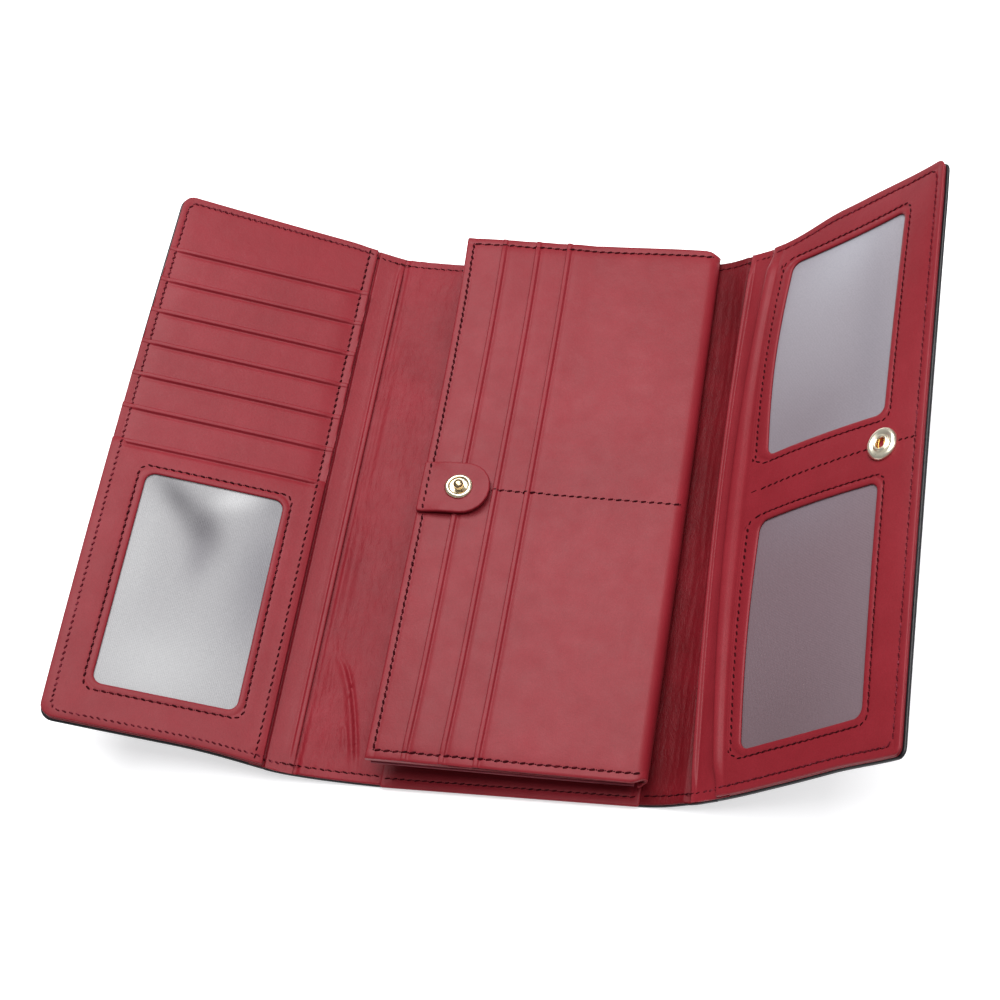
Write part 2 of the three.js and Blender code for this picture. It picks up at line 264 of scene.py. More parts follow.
def slab(name, fmap, rect, r, w0, w1, material, body, holes=(), rim=None, hole_rim=None, grid=3.0,
         height=None, replaces=(), slot=None, step=3.0, lift=None, rows_u=(), rows_v=()):
    """A leather layer: a rounded rectangle with rounded holes, its upper edge shaped by the rim profile
    (inset, drop), its face filled by a triangulated grid."""
    x0, y0, x1, y1 = rect
    rim = rim or [(0.0, 0.55), (0.08, 0.28), (0.25, 0.1), (0.5, 0.02), (0.9, 0.0)]
    hole_rim = hole_rim or rim
    verts, faces = [], []

    def put(p, w):
        at = len(verts)
        for q in p:
            ww = w + (height(q[0], q[1]) if height is not None and w > w0 + 1e-6 else 0)
            ww += lift(q[0], q[1]) if lift is not None else 0
            verts.append(fmap(q[0], q[1], ww))
        return list(range(at, at + len(p)))

    def wall(a, b):
        n = len(a)
        for i in range(n):
            faces.append((a[i], a[(i + 1) % n], b[(i + 1) % n], b[i]))

    thick = w1 - w0
    bottom = put(loop_points(x0, y0, x1, y1, r, 0.12, step=step), w0)
    side = put(loop_points(x0, y0, x1, y1, r, 0.0, step=step), w0 + 0.15 * thick)
    wall(bottom, side)
    last = side
    for inset, drop in rim:
        ring = put(loop_points(x0, y0, x1, y1, r, inset, step=step), w1 - min(drop, 0.8 * thick))
        wall(last, ring)
        last = ring
    outer_flat = loop_points(x0, y0, x1, y1, r, rim[-1][0], step=step)
    hole_bottoms, hole_tops, hole_flats = [], [], []
    for (a0, b0, a1, b1, hr) in holes:
        hb = put(loop_points(a0, b0, a1, b1, hr, -0.05, step=step)[::-1], w0)
        last_h = hb
        for inset, drop in hole_rim:
            ring = put(loop_points(a0, b0, a1, b1, hr, -inset, step=step)[::-1], w1 - min(drop, 0.8 * thick))
            wall(last_h, ring)
            last_h = ring
        hole_bottoms.append(hb)
        hole_tops.append(last_h)
        hole_flats.append(loop_points(a0, b0, a1, b1, hr, -hole_rim[-1][0], step=step)[::-1])
    # upper face
    loops2d = [outer_flat] + hole_flats
    ids = [last] + hole_tops
    pts2, idx, edges = [], [], []
    for lp, lid in zip(loops2d, ids):
        at = len(pts2)
        pts2 += [tuple(p) for p in lp]
        idx += lid
        edges += [(at + i, at + (i + 1) % len(lp)) for i in range(len(lp))]
    gx = np.arange(x0 + grid, x1 - grid * 0.6, grid)
    gy = np.arange(y0 + grid, y1 - grid * 0.6, grid)
    gap = rim[-1][0] + grid * 0.45
    for X in gx:
        for Y in gy:
            if not (x0 + gap < X < x1 - gap and y0 + gap < Y < y1 - gap):
                continue
            cornered = False
            for (ccx, ccy) in ((x0, y0), (x1, y0), (x0, y1), (x1, y1)):
                rr = (r if np.isscalar(r) else max(r)) + 1
                if abs(X - ccx) < rr and abs(Y - ccy) < rr:
                    cornered = True
            if cornered:
                continue
            hg = hole_rim[-1][0] + grid * 0.45
            if any(a0 - hg < X < a1 + hg and b0 - hg < Y < b1 + hg for (a0, b0, a1, b1, _) in holes):
                continue
            if any(abs(X - r) < 0.8 for r in rows_u) or any(abs(Y - r) < 0.8 for r in rows_v):
                continue
            pts2.append((X, Y))
            idx += put([(X, Y)], w1)
    gap = rim[-1][0] + 0.5
    ok = lambda X, Y: not any(a0 - hole_rim[-1][0] - 1 < X < a1 + hole_rim[-1][0] + 1 and b0 - hole_rim[-1][0] - 1 < Y < b1 + hole_rim[-1][0] + 1 for (a0, b0, a1, b1, _) in holes)
    for line in [[(X, Y) for Y in np.arange(y0 + max(gap, 6), y1 - max(gap, 6), 2.2)] for X in rows_u] + [[(X, Y) for X in np.arange(x0 + max(gap, 4), x1 - max(gap, 4), 2.2)] for Y in rows_v]:
        last_at = None
        for X, Y in line:
            if not ok(X, Y):
                last_at = None
                continue
            pts2.append((X, Y))
            idx += put([(X, Y)], w1)
            if last_at is not None:
                edges.append((last_at, len(pts2) - 1))
            last_at = len(pts2) - 1
    fill(pts2, idx, edges, faces, loops2d)
    # lower face
    loops2d = [loop_points(x0, y0, x1, y1, r, 0.12, step=step)] + [loop_points(a0, b0, a1, b1, hr, -0.05, step=step)[::-1] for (a0, b0, a1, b1, hr) in holes]
    ids = [bottom] + hole_bottoms
    pts2, idx, edges = [], [], []
    for lp, lid in zip(loops2d, ids):
        at = len(pts2)
        pts2 += [tuple(p) for p in lp]
        idx += lid
        edges += [(at + i, at + (i + 1) % len(lp)) for i in range(len(lp))]
    wide_step = max(4.0, grid)
    for X in np.arange(x0 + 6, x1 - 3, wide_step):
        for Y in np.arange(y0 + 6, y1 - 3, wide_step):
            if any(a0 - 2 < X < a1 + 2 and b0 - 2 < Y < b1 + 2 for (a0, b0, a1, b1, _) in holes):
                continue
            pts2.append((X, Y))
            idx += put([(X, Y)], w0)
    fill(pts2, idx, edges, faces, loops2d, flip=True)
    ob = make(name, verts, faces, material, body, True, replaces, slot)
    return recalc(ob)


def fill(pts2, idx, edges, faces, loops, flip=False):
    v, e, f, vo, eo, fo = delaunay_2d_cdt([Vector(p) for p in pts2], edges, [], 1, 1e-7)
    for tri in f:
        c = np.mean([v[i] for i in tri], axis=0)
        if not inside(c, loops[0]):
            continue
        if any(inside(c, lp) for lp in loops[1:]):
            continue
        src = [vo[i][0] if vo[i] else None for i in tri]
        if None in src:
            continue
        t = [idx[i] for i in src]
        if len(set(t)) < 3:
            continue
        faces.append(tuple(t[::-1] if flip else t))


def inside(p, poly):
    x, y = p[0], p[1]
    xs, ys = poly[:, 0], poly[:, 1]
    xn, yn = np.roll(xs, -1), np.roll(ys, -1)
    hit = ((ys > y) != (yn > y)) & (x < (xn - xs) * (y - ys) / np.where(yn == ys, 1e-12, yn - ys) + xs)
    return bool(hit.sum() % 2)


def sweep(name, place, stations, profile, material, body=None, replaces=(), slot=None, ends=0.25, close=True):
    """A closed strip: the profile's points (p, w) at each station q, placed by place(p, q, w).
    The profile is a closed loop. Both ends are drawn in slightly, so that they read as cut leather."""
    n = len(profile)
    p = np.array([a for a, b in profile], float)
    w = np.array([b for a, b in profile], float)
    mid = (w.max() + w.min()) / 2
    verts = []
    qs = [stations[0]] + list(stations) + [stations[-1]]
    for i, q in enumerate(qs):
        if i in (0, len(qs) - 1):
            k = 1 - ends
        else:
            k = 1.0
        verts.append(place(p, np.full(n, q), mid + (w - mid) * k))
    verts = np.concatenate(verts)
    faces = []
    for i in range(len(qs) - 1):
        for j in range(n):
            a, b = i * n + j, i * n + (j + 1) % n
            faces.append((a, b, b + n, a + n))
    if close:
        faces.append(tuple(range(n))[::-1])
        faces.append(tuple((len(qs) - 1) * n + j for j in range(n)))
    ob = make(name, verts, faces, material, body, True, replaces, slot)
    return recalc(ob)


def crease(d, ridge, groove, line):
    """A folded edge: a raised ridge along it, then a pressed line, then the flat face."""
    return ridge * (1 - smooth(line - 0.6, line + 0.1, d)) * smooth(-0.3, 0.5, d) - groove * np.exp(-((np.asarray(d, float) - line) / np.where(np.asarray(d, float) < line, 0.3, 1.0)) ** 2)


CREASE_ROWS = (0.35, 0.7, 1.05, 1.25, 1.4, 1.55, 1.75, 1.95, 2.2, 2.6, 3.1, 3.8)


def lip_profile(lip, foot, top_lip, top_foot, thick, toward, ridge=0.16, groove=0.2, line=2.0, curl=0.0, dip=None):
    """A slot strip's section: rounded free edge, a raised folded ridge, a creased groove, then the flat face.
    toward is +1 when the strip runs from its lip to larger p. curl lifts the free edge."""
    L = abs(foot - lip)
    ds = [0.0, 0.08, 0.22, 0.42, 0.7, 1.0, 1.3] + [line + k for k in (-0.5, -0.3, -0.1, 0.1, 0.3, 0.5, 0.8, 1.2, 1.8)]
    ds += list(np.arange(line + 3.4, L - 0.5, 2.5)) + [L]
    if dip:
        ds = sorted([d for d in ds if abs(d - dip[0]) > 1.3] + [dip[0] + k for k in (-1.2, -0.9, -0.65, -0.45, -0.25, 0, 0.25, 0.45, 0.65, 0.9, 1.2)])
    lift = lambda d: curl * float(1 - smooth(0, 5.0, d))
    top = []
    for d in ds:
        h = float(crease(d, ridge, groove, line)) + lift(d)
        if dip:
            h -= dip[1] * math.exp(-((d - dip[0]) / 0.5) ** 4)
        r = 0.32
        if d < r:
            h -= r - math.sqrt(max(r * r - (r - d) ** 2, 0))
        top.append((lip + toward * d, top_lip + (top_foot - top_lip) * d / L + h))
    bot = [(lip + toward * d, top_lip + (top_foot - top_lip) * d / L - thick + lift(d)) for d in (L, L / 2, 5.0, 2.5, 0.15)]
    front = [(lip + toward * 0.02, top_lip - thick + 0.12 + lift(0))]
    return top + bot + front


# ------------------------------------------------------------------ materials
def nodes_of(name):
    m = bpy.data.materials.new(name)
    m.use_nodes = True
    nt = m.node_tree
    nt.nodes.clear()
    out = nt.nodes.new("ShaderNodeOutputMaterial")
    bsdf = nt.nodes.new("ShaderNodeBsdfPrincipled")
    nt.links.new(bsdf.outputs[0], out.inputs[0])
    return m, nt, bsdf


def node(nt, kind, **values):
    n = nt.nodes.new(kind)
    for k, v in values.items():
        if k in n.inputs:
            n.inputs[k].default_value = v
        else:
            setattr(n, k, v)
    return n


def mapped(nt, scale=(1, 1, 1), rotation=(0, 0, 0)):
    tc = nt.nodes.new("ShaderNodeTexCoord")
    mp = nt.nodes.new("ShaderNodeMapping")
    mp.inputs["Scale"].default_value = scale
    mp.inputs["Rotation"].default_value = rotation
    nt.links.new(tc.outputs["Object"], mp.inputs["Vector"])
    return mp.outputs["Vector"]


def noise(nt, vec, scale, detail=3.0, rough=0.55, distortion=0.0):
    n = node(nt, "ShaderNodeTexNoise")
    n.inputs["Scale"].default_value = scale
    n.inputs["Detail"].default_value = detail
    n.inputs["Roughness"].default_value = rough
    n.inputs["Distortion"].default_value = distortion
    nt.links.new(vec, n.inputs["Vector"])
    return n.outputs["Fac"]


def ramp(nt, fac, stops):
    r = nt.nodes.new("ShaderNodeValToRGB")
    e = r.color_ramp.elements
    while len(e) < len(stops):
        e.new(0.5)
    for el, (pos, col) in zip(e, stops):
        el.position = pos
        el.color = (*col, 1) if len(col) == 3 else col
    nt.links.new(fac, r.inputs["Fac"])
    return r.outputs["Color"]


def mix(nt, fac, a, b, blend="MIX"):
    m = nt.nodes.new("ShaderNodeMix")
    m.data_type = "RGBA"
    m.blend_type = blend
    if isinstance(fac, float):
        m.inputs[0].default_value = fac
    else:
        nt.links.new(fac, m.inputs[0])
    for sock, val in ((m.inputs[6], a), (m.inputs[7], b)):
        if isinstance(val, tuple):
            sock.default_value = (*val, 1)
        else:
            nt.links.new(val, sock)
    return m.outputs[2]


def math_node(nt, op, a, b=0.0):
    m = nt.nodes.new("ShaderNodeMath")
    m.operation = op
    for i, val in enumerate((a, b)):
        if isinstance(val, (int, float)):
            m.inputs[i].default_value = val
        else:
            nt.links.new(val, m.inputs[i])
    return m.outputs[0]


def bump_node(nt, height, distance, strength=1.0, normal=None):
    b = nt.nodes.new("ShaderNodeBump")
    b.inputs["Distance"].default_value = distance
    b.inputs["Strength"].default_value = strength
    nt.links.new(height, b.inputs["Height"])
    if normal is not None:
        nt.links.new(normal, b.inputs["Normal"])
    return b.outputs["Normal"]


def srgb(r, g, b):
    f = lambda c: ((c / 255 + 0.055) / 1.055) ** 2.4 if c > 10 else c / 255 / 12.92
    return (f(r), f(g), f(b))


def leather(name, dark, base, light, rough=0.46, grain=0.00004, wrinkle=0.0, wrinkle_scale=(900, 140, 300), spec=0.5, cloud=0.5):
    m, nt, bsdf = nodes_of(name)
    v = mapped(nt)
    big = noise(nt, v, 22, 3, 0.5)
    mid = noise(nt, v, 110, 3, 0.6)
    both = math_node(nt, "ADD", math_node(nt, "MULTIPLY", big, 0.62), math_node(nt, "MULTIPLY", mid, 0.38))
    col = ramp(nt, both, [(0.5 - 0.32 / cloud * 0.5, dark), (0.5, base), (0.5 + 0.32 / cloud * 0.5, light)])
    fine = noise(nt, v, 2600, 2, 0.6)
    col = mix(nt, 0.10, col, ramp(nt, fine, [(0.35, (0.12, 0.12, 0.12)), (0.65, (0.9, 0.9, 0.9))]), "SOFT_LIGHT")
    nt.links.new(col, bsdf.inputs["Base Color"])
    # fine pebble grain
    vor = nt.nodes.new("ShaderNodeTexVoronoi")
    vor.feature = "SMOOTH_F1"
    vor.inputs["Scale"].default_value = 1500
    warp = nt.nodes.new("ShaderNodeVectorMath")
    warp.operation = "ADD"
    nz = nt.nodes.new("ShaderNodeTexNoise")
    nz.inputs["Scale"].default_value = 500
    nt.links.new(v, nz.inputs["Vector"])
    sc = nt.nodes.new("ShaderNodeVectorMath")
    sc.operation = "SCALE"
    sc.inputs["Scale"].default_value = 0.0008
    nt.links.new(nz.outputs["Color"], sc.inputs[0])
    nt.links.new(v, warp.inputs[0])
    nt.links.new(sc.outputs[0], warp.inputs[1])
    nt.links.new(warp.outputs[0], vor.inputs["Vector"])
    h = math_node(nt, "ADD", vor.outputs["Distance"], math_node(nt, "MULTIPLY", fine, 0.6))
    normal = bump_node(nt, h, grain, 0.55)
    soft = noise(nt, v, 260, 3, 0.55, 0.4)
    normal = bump_node(nt, soft, 0.00022, 0.30, normal)
    if wrinkle:
        vw = mapped(nt, wrinkle_scale, (0, 0, 0.06))
        wr = noise(nt, vw, 1.0, 4, 0.6, 1.2)
        mask = noise(nt, v, 38, 2, 0.5)
        wm = math_node(nt, "MULTIPLY", wr, ramp(nt, mask, [(0.35, (0.25,) * 3), (0.62, (1,) * 3)]))
        normal = bump_node(nt, wm, wrinkle, 0.9, normal)
    nt.links.new(normal, bsdf.inputs["Normal"])
    rn = noise(nt, v, 160, 3, 0.6)
    rr = math_node(nt, "ADD", math_node(nt, "MULTIPLY", rn, 0.16), rough - 0.08)
    nt.links.new(rr, bsdf.inputs["Roughness"])
    bsdf.inputs["Specular IOR Level"].default_value = spec
    return m


RED = leather("wine_leather", srgb(108, 21, 29), srgb(118, 25, 34), srgb(128, 31, 41), cloud=0.5, spec=0.2)
RED_FOLD_L = leather("wine_leather_fold_left", srgb(106, 20, 29), srgb(118, 26, 35), srgb(128, 33, 43), wrinkle=0.00036, wrinkle_scale=(460, 170, 240), cloud=0.7, spec=0.14)
# the right fold's lining is a darker copy of the wine leather: painted shade where the leaf stands over it
RED_FOLD_R_SHADED = leather("wine_leather_fold_right_painted_shade", srgb(73, 8, 14), srgb(88, 12, 19), srgb(104, 18, 27), wrinkle=0.00036, wrinkle_scale=(820, 330, 430), cloud=0.7, spec=0.10)
BLACK = leather("cover_leather", srgb(14, 14, 16), srgb(20, 19, 22), srgb(30, 29, 33), rough=0.42, grain=0.00008, spec=0.35)
EDGE = leather("raw_edge_leather", srgb(92, 34, 42), srgb(112, 46, 54), srgb(130, 60, 68), rough=0.7, spec=0.1)
# a darker copy of the wine leather standing for the shade in pocket insides and gaps: painted shade; no piece uses it
SHADE_RED = leather("pocket_inside_painted_shade", srgb(60, 12, 18), srgb(76, 17, 26), srgb(92, 24, 34), rough=0.6, spec=0.1)


def thread_material(name, dark, base, light):
    m, nt, bsdf = nodes_of(name)
    v = mapped(nt)
    n = noise(nt, v, 900, 2, 0.5)
    nt.links.new(ramp(nt, n, [(0.3, dark), (0.55, base), (0.8, light)]), bsdf.inputs["Base Color"])
    w = nt.nodes.new("ShaderNodeTexWave")
    w.inputs["Scale"].default_value = 1400
    w.inputs["Distortion"].default_value = 1.0
    w.bands_direction = "DIAGONAL"
    nt.links.new(v, w.inputs["Vector"])
    nt.links.new(bump_node(nt, w.outputs["Fac"], 0.00008, 0.7), bsdf.inputs["Normal"])
    bsdf.inputs["Roughness"].default_value = 0.6
    bsdf.inputs["Specular IOR Level"].default_value = 0.04
    return m


THREAD = thread_material("maroon_thread", srgb(34, 4, 8), srgb(56, 7, 14), srgb(84, 14, 24))
THREAD_PALE = thread_material("wine_thread", srgb(58, 10, 18), srgb(88, 22, 32), srgb(140, 60, 72))


# needle holes: their dark colour is painted shade standing for the hole's depth
def hole_shade_material():
    m, nt, bsdf = nodes_of("stitch_hole_painted_shade")
    v = mapped(nt)
    nt.links.new(ramp(nt, noise(nt, v, 600, 2), [(0.3, srgb(30, 3, 6)), (0.7, srgb(52, 7, 12))]), bsdf.inputs["Base Color"])
    bsdf.inputs["Roughness"].default_value = 0.8
    bsdf.inputs["Specular IOR Level"].default_value = 0.02
    return m


HOLE_SHADE = hole_shade_material()


def gold(name, base, rough):
    m, nt, bsdf = nodes_of(name)
    v = mapped(nt)
    n = noise(nt, v, 420, 4, 0.6)
    nt.links.new(ramp(nt, n, [(0.3, tuple(c * 0.9 for c in base)), (0.7, base)]), bsdf.inputs["Base Color"])
    bsdf.inputs["Metallic"].default_value = 1.0
    nt.links.new(math_node(nt, "ADD", math_node(nt, "MULTIPLY", noise(nt, v, 900, 3), 0.12), rough), bsdf.inputs["Roughness"])
    nt.links.new(bump_node(nt, noise(nt, v, 1500, 3), 0.00003, 0.25), bsdf.inputs["Normal"])
    return m


GOLD = gold("pale_gold", (0.80, 0.71, 0.52), 0.20)
RING = gold("socket_gold", (0.90, 0.83, 0.66), 0.24)
# the ball's gold is a darkened copy of the stud's gold: painted shade standing for dark reflections on its dome
BALL_GOLD_SHADED = gold("ball_gold_painted_reflection", (0.40, 0.30, 0.17), 0.16)
AMBER = gold("inner_brass", (0.80, 0.48, 0.12), 0.28)


def film(name, painted_light_spots, base, weave=0.00003, rough=0.30, gloss=0.6):
    """Frosted film: a fine woven emboss, and soft broad spots of painted reflection and painted shade over its length.
    """
    m, nt, bsdf = nodes_of(name)
    tc = nt.nodes.new("ShaderNodeTexCoord")
    uv = tc.outputs["UV"]
    sep = nt.nodes.new("ShaderNodeSeparateXYZ")
    nt.links.new(uv, sep.inputs[0])
    col = base
    cur = None
    v = mapped(nt)
    wob = noise(nt, v, 40, 3, 0.5)
    for (cx, cy, sx, sy, rot, amount, shade) in painted_light_spots:
        dx = math_node(nt, "SUBTRACT", sep.outputs[0], cx)
        dy = math_node(nt, "SUBTRACT", sep.outputs[1], cy)
        c, s = math.cos(rot), math.sin(rot)
        a = math_node(nt, "DIVIDE", math_node(nt, "ADD", math_node(nt, "MULTIPLY", dx, c), math_node(nt, "MULTIPLY", dy, s)), sx)
        b = math_node(nt, "DIVIDE", math_node(nt, "SUBTRACT", math_node(nt, "MULTIPLY", dy, c), math_node(nt, "MULTIPLY", dx, s)), sy)
        d2 = math_node(nt, "ADD", math_node(nt, "MULTIPLY", a, a), math_node(nt, "MULTIPLY", b, b))
        g = math_node(nt, "POWER", 2.718, math_node(nt, "MULTIPLY", d2, -1.0))
        g = math_node(nt, "MULTIPLY", g, math_node(nt, "ADD", math_node(nt, "MULTIPLY", wob, 0.3), 0.85))
        g = math_node(nt, "MULTIPLY", g, amount)
        cur = mix(nt, g, cur if cur is not None else base, shade)
    # woven emboss, 0.5 mm
    def wave(rot):
        w = nt.nodes.new("ShaderNodeTexWave")
        w.wave_type = "BANDS"
        w.bands_direction = "X"
        w.inputs["Scale"].default_value = 1
        mp = nt.nodes.new("ShaderNodeMapping")
        mp.inputs["Scale"].default_value = (26, 44, 1)
        mp.inputs["Rotation"].default_value = (0, 0, rot)
        nt.links.new(uv, mp.inputs["Vector"])
        nt.links.new(mp.outputs[0], w.inputs["Vector"])
        return w.outputs["Fac"]
    wv = math_node(nt, "ADD", wave(0.0), wave(math.pi / 2))
    sp = noise(nt, v, 1800, 2, 0.6)
    cur = mix(nt, 0.12, cur, ramp(nt, sp, [(0.3, (0.2,) * 3), (0.7, (0.85,) * 3)]), "SOFT_LIGHT")
    nt.links.new(cur, bsdf.inputs["Base Color"])
    nt.links.new(bump_node(nt, math_node(nt, "ADD", wv, math_node(nt, "MULTIPLY", sp, 0.8)), weave, 0.6), bsdf.inputs["Normal"])
    bsdf.inputs["Roughness"].default_value = rough
    bsdf.inputs["Specular IOR Level"].default_value = gloss
    return m


# each film's light spots are painted reflections and its dark spots painted shade
FILM_L = film("film_left", [
    (0.74, 0.91, 0.26, 0.075, 0.44, 0.9, srgb(78, 76, 80)),
    (0.52, 0.80, 0.15, 0.105, 0.5, 0.84, srgb(72, 69, 74)),
    (0.50, 0.66, 0.10, 0.12, 0.2, 0.5, srgb(94, 91, 97)),
    (0.00, 0.62, 0.24, 0.36, 0.0, 0.85, srgb(104, 102, 107)),
    (0.04, 0.98, 0.12, 0.09, 0.0, 0.6, srgb(108, 107, 111)),
    (0.34, 0.965, 0.16, 0.06, -0.2, 0.8, srgb(176, 176, 177)),
    (0.94, 0.60, 0.14, 0.33, 0.0, 0.5, srgb(158, 158, 159)),
    (0.62, 0.12, 0.42, 0.2, 0.0, 0.6, srgb(164, 164, 165)),
], srgb(140, 139, 141), rough=0.48, gloss=0.4, weave=0.00005)
FILM_RU = film("film_right_upper", [
    (0.55, 1.0, 0.45, 0.25, 0.3, 0.6, srgb(154, 154, 162)),
    (0.80, 0.45, 0.15, 0.5, 0.1, 0.35, srgb(112, 108, 116)),
    (0.35, 0.05, 0.6, 0.3, 0.1, 0.6, srgb(108, 98, 105)),
], srgb(132, 127, 134))
# the lower right film's base is darker than the upper one's: painted shade on the same film
FILM_RL = film("film_right_lower", [
    (0.45, 1.0, 0.55, 0.18, 0.1, 0.6, srgb(114, 104, 112)),
    (0.55, 0.55, 0.5, 0.4, 0.2, 0.5, srgb(104, 86, 93)),
    (0.30, 0.02, 0.6, 0.3, 0.1, 0.6, srgb(92, 75, 80)),
], srgb(108, 92, 98))

# ------------------------------------------------------------------ cover and lining, one side at a time
V_LINES = np.concatenate([[-97.5, -97.42, -97.2, -96.9, -96.4, -95.6, -94.9, -94.4, -93.8], np.linspace(-92, 92, 63),
                          [93.8, 94.4, 94.9, 95.6, 96.4, 96.9, 97.2, 97.42, 97.5]])


def edge_round(d, r=0.35):
    return 0 if d >= r else r - math.sqrt(max(r * r - (r - d) ** 2, 0))


def sheet_piece(name, side, s0, s1, w0, w1, material, seam=2.6, relief=None, ds=1.6, fine=False, inset=0.0, close0=False, close1=False):
    """A band of leather across the wallet from s0 to s1, with its two long ends rounded and grooved at the seam."""
    at = COVER[side]
    n = max(3, int(abs(s1 - s0) / ds))
    ss = np.linspace(s0, s1, n + 1)
    vs = V_LINES if not fine else np.sort(np.concatenate([V_LINES[V_LINES < -91], np.arange(-91, -45, 0.8), V_LINES[V_LINES > -45]]))
    vs = vs * ((HALF - inset) / HALF)
    top, bot = [], []
    for s in ss:
        for v in vs:
            d = HALF - inset - abs(v)
            h = -edge_round(d) - 0.12 * math.exp(-((d - seam) / 0.55) ** 2)
            if relief is not None:
                h += relief(s, v)
            top.append(at(s, v, w1 + h))
            bot.append(at(s, v, w0 + (edge_round(d, 0.25) if d < 0.25 else 0)))
    top, bot = np.array(top), np.array(bot)
    m = len(vs)
    verts = np.concatenate([top, bot])
    k = len(top)
    faces = []
    for i in range(n):
        for j in range(m - 1):
            a = i * m + j
            faces.append((a, a + 1, a + m + 1, a + m))
            faces.append((k + a, k + a + m, k + a + m + 1, k + a + 1))
        for j in (0, m - 1):
            a = i * m + j
            faces.append((a, a + m, k + a + m, k + a))
    return verts, faces


def fold_piece(name, side, s0, s1, w0, w1, material, a, b, start, end, replaces=(), slot=None, **kw):
    verts, faces = sheet_piece(name, side, s0, s1, w0, w1, material, **kw)
    ob = make(name, verts, faces, material, None, True)
    recalc(ob)
    tuple(c * MM for c in start)
    tuple(c * MM for c in end)
    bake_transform(ob)
    if replaces:
        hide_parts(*replaces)
    return ob


def hinge_span(side, which, reach=5.0):
    at = COVER[side]
    pts, length, mid = BAND[side]
    if which == "inner":
        s = at.start + 7.0
        a, b = at(s - reach, 0, INNER), at(s + reach, 0, INNER)
    else:
        s = at.fold2
        a, b = at(s - reach, 0, INNER), at(s + reach, 0, INNER)
    return a, b


def wrinkles_left(s, v):
    at = COVER[-1]
    t = (s - at.start - 4) / (at.total - 4)
    h = 0.09 * math.sin(s * 1.3 + 0.02 * v + 1.3 * math.sin(v * 0.07)) * math.exp(-((t - 0.7) / 0.3) ** 2)
    # a soft hollow beside the slip pocket's edge
    h -= 0.55 * math.exp(-((at.fold2 - 3.4 - s + 0.6 * math.sin(v * 0.06)) / 1.7) ** 2) * float(smooth(-97, -60, v)) * (1 - float(smooth(60, 95, v)))
    # arc-shaped creases near the lower end
    for top, low, near, far, k, wide in ((-57, -91, 6.5, 18.5, 0.95, 0.5), (-79, -88, 12.0, 15.0, 0.45, 0.35), (-50, -70, 3.5, 6.0, 0.3, 0.5)):
        q = (top - v) / (top - low)
        if -0.1 < q < 1.1:
            line = at.fold2 - near - (far - near) * max(q, 0) ** 0.58
            d = line - s                     # towards the middle
            e = float(smooth(-0.1, 0.2, q)) * (1 - float(smooth(0.8, 1.1, q)))
            h += e * k * (0.55 * math.exp(-((d + 2.2 * wide) / (2.2 * wide)) ** 2) - math.exp(-((d - 0.2) / wide) ** 2))
    return h


def wrinkles_right(s, v):
    at = COVER[1]
    t = (s - at.start - 3) / (at.total - 6)
    env = math.exp(-((t - 0.5) / 0.42) ** 2) * (1 - float(smooth(84, 92, abs(v))))
    h = 0.0
    for i, (f, ph, amp) in enumerate(((2.3, 0.3, 0.05), (3.4, 1.7, 0.04), (1.35, 2.6, 0.05))):
        h += amp * math.sin(f * (s + 0.03 * v * (1 if i % 2 else -1)) + ph + 1.6 * math.sin(v * (0.09 + 0.05 * i) + ph))
    return h * env


LSTART, LEND = COVER[-1].start, COVER[-1].fold2
for side, tag, fold, board_body, wr in ((-1, "left", "left_fold", "left_board", wrinkles_left), (1, "right", "right_fold", "right_board", wrinkles_right)):
    at = COVER[side]
    width = BOARD_L if side < 0 else BOARD_R
    # the right side's lining takes the darker copy, whose colour is painted shade
    red = RED_FOLD_L if side < 0 else RED_FOLD_R_SHADED
    i0, i1 = hinge_span(side, "inner", 5.0)
    o0, o1 = hinge_span(side, "outer", 4.0)
    fold_piece(f"cover_{tag}_inner", side, 0.0, at.mid, 0.0, 0.9, BLACK, "centre", fold, i0, i1,
               replaces=("outer_centre", f"outer_{tag}_fold"), slot="outer_centre")
    fold_piece(f"cover_{tag}_board_root", side, at.mid, at.fold2 + 9.0, 0.0, 0.9, BLACK, fold, board_body, o0, o1,
               slot=f"outer_{tag}_wing")
    fold_piece(f"lining_{tag}_inner", side, 30.0, at.mid, 0.95, INNER, red, "centre", fold, i0, i1,
               replaces=("lining_centre", f"lining_{tag}_fold"), slot=f"lining_{tag}_fold", relief=wr, inset=0.35, fine=side < 0, ds=0.6)
    fold_piece(f"lining_{tag}_root", side, at.mid, at.fold2 + 6.5, 0.95, INNER, red, fold, board_body, o0, o1,
               slot=f"lining_{tag}_fold", relief=lambda s, v, w=wr, a=at: w(s, v) - 0.72 * float(smooth(a.fold2 - 1.9, a.fold2 - 0.9, s)), inset=0.35, fine=side < 0, ds=0.6)

# ------------------------------------------------------------------ boards
COVER_RIM = [(0.0, 0.5), (0.1, 0.25), (0.3, 0.08), (0.6, 0.0)]
SEWN_RIM = [(0.0, 0.45), (0.06, 0.26), (0.2, 0.1), (0.42, 0.02), (0.8, 0.0), (1.7, 0.0), (2.15, 0.05), (2.6, 0.14), (3.05, 0.05), (3.6, 0.0)]
WINDOW_RIM = [(0.0, 0.42), (0.06, 0.24), (0.2, 0.06), (0.45, -0.04), (1.0, -0.1), (1.7, -0.07), (2.1, 0.04), (2.5, 0.14), (2.9, 0.05), (3.5, 0.0)]


def board_cover(tag, fmap, width, body, node_name, radii):
    slab(f"cover_{tag}_board", fmap, (8.6, -HALF + 0.1, width, HALF - 0.1), radii, 0.03, 0.9, BLACK, body,
         rim=COVER_RIM, grid=4.0, replaces=(node_name,), slot=node_name)


board_cover("left", left, BOARD_L + 0.2, "left_board", "outer_left_wing", [4.2, 3.8, 0.3, 0.3])
board_cover("right", right, BOARD_R - 0.3, "right_board", "outer_right_wing", [3.0, 3.4, 0.3, 0.3])

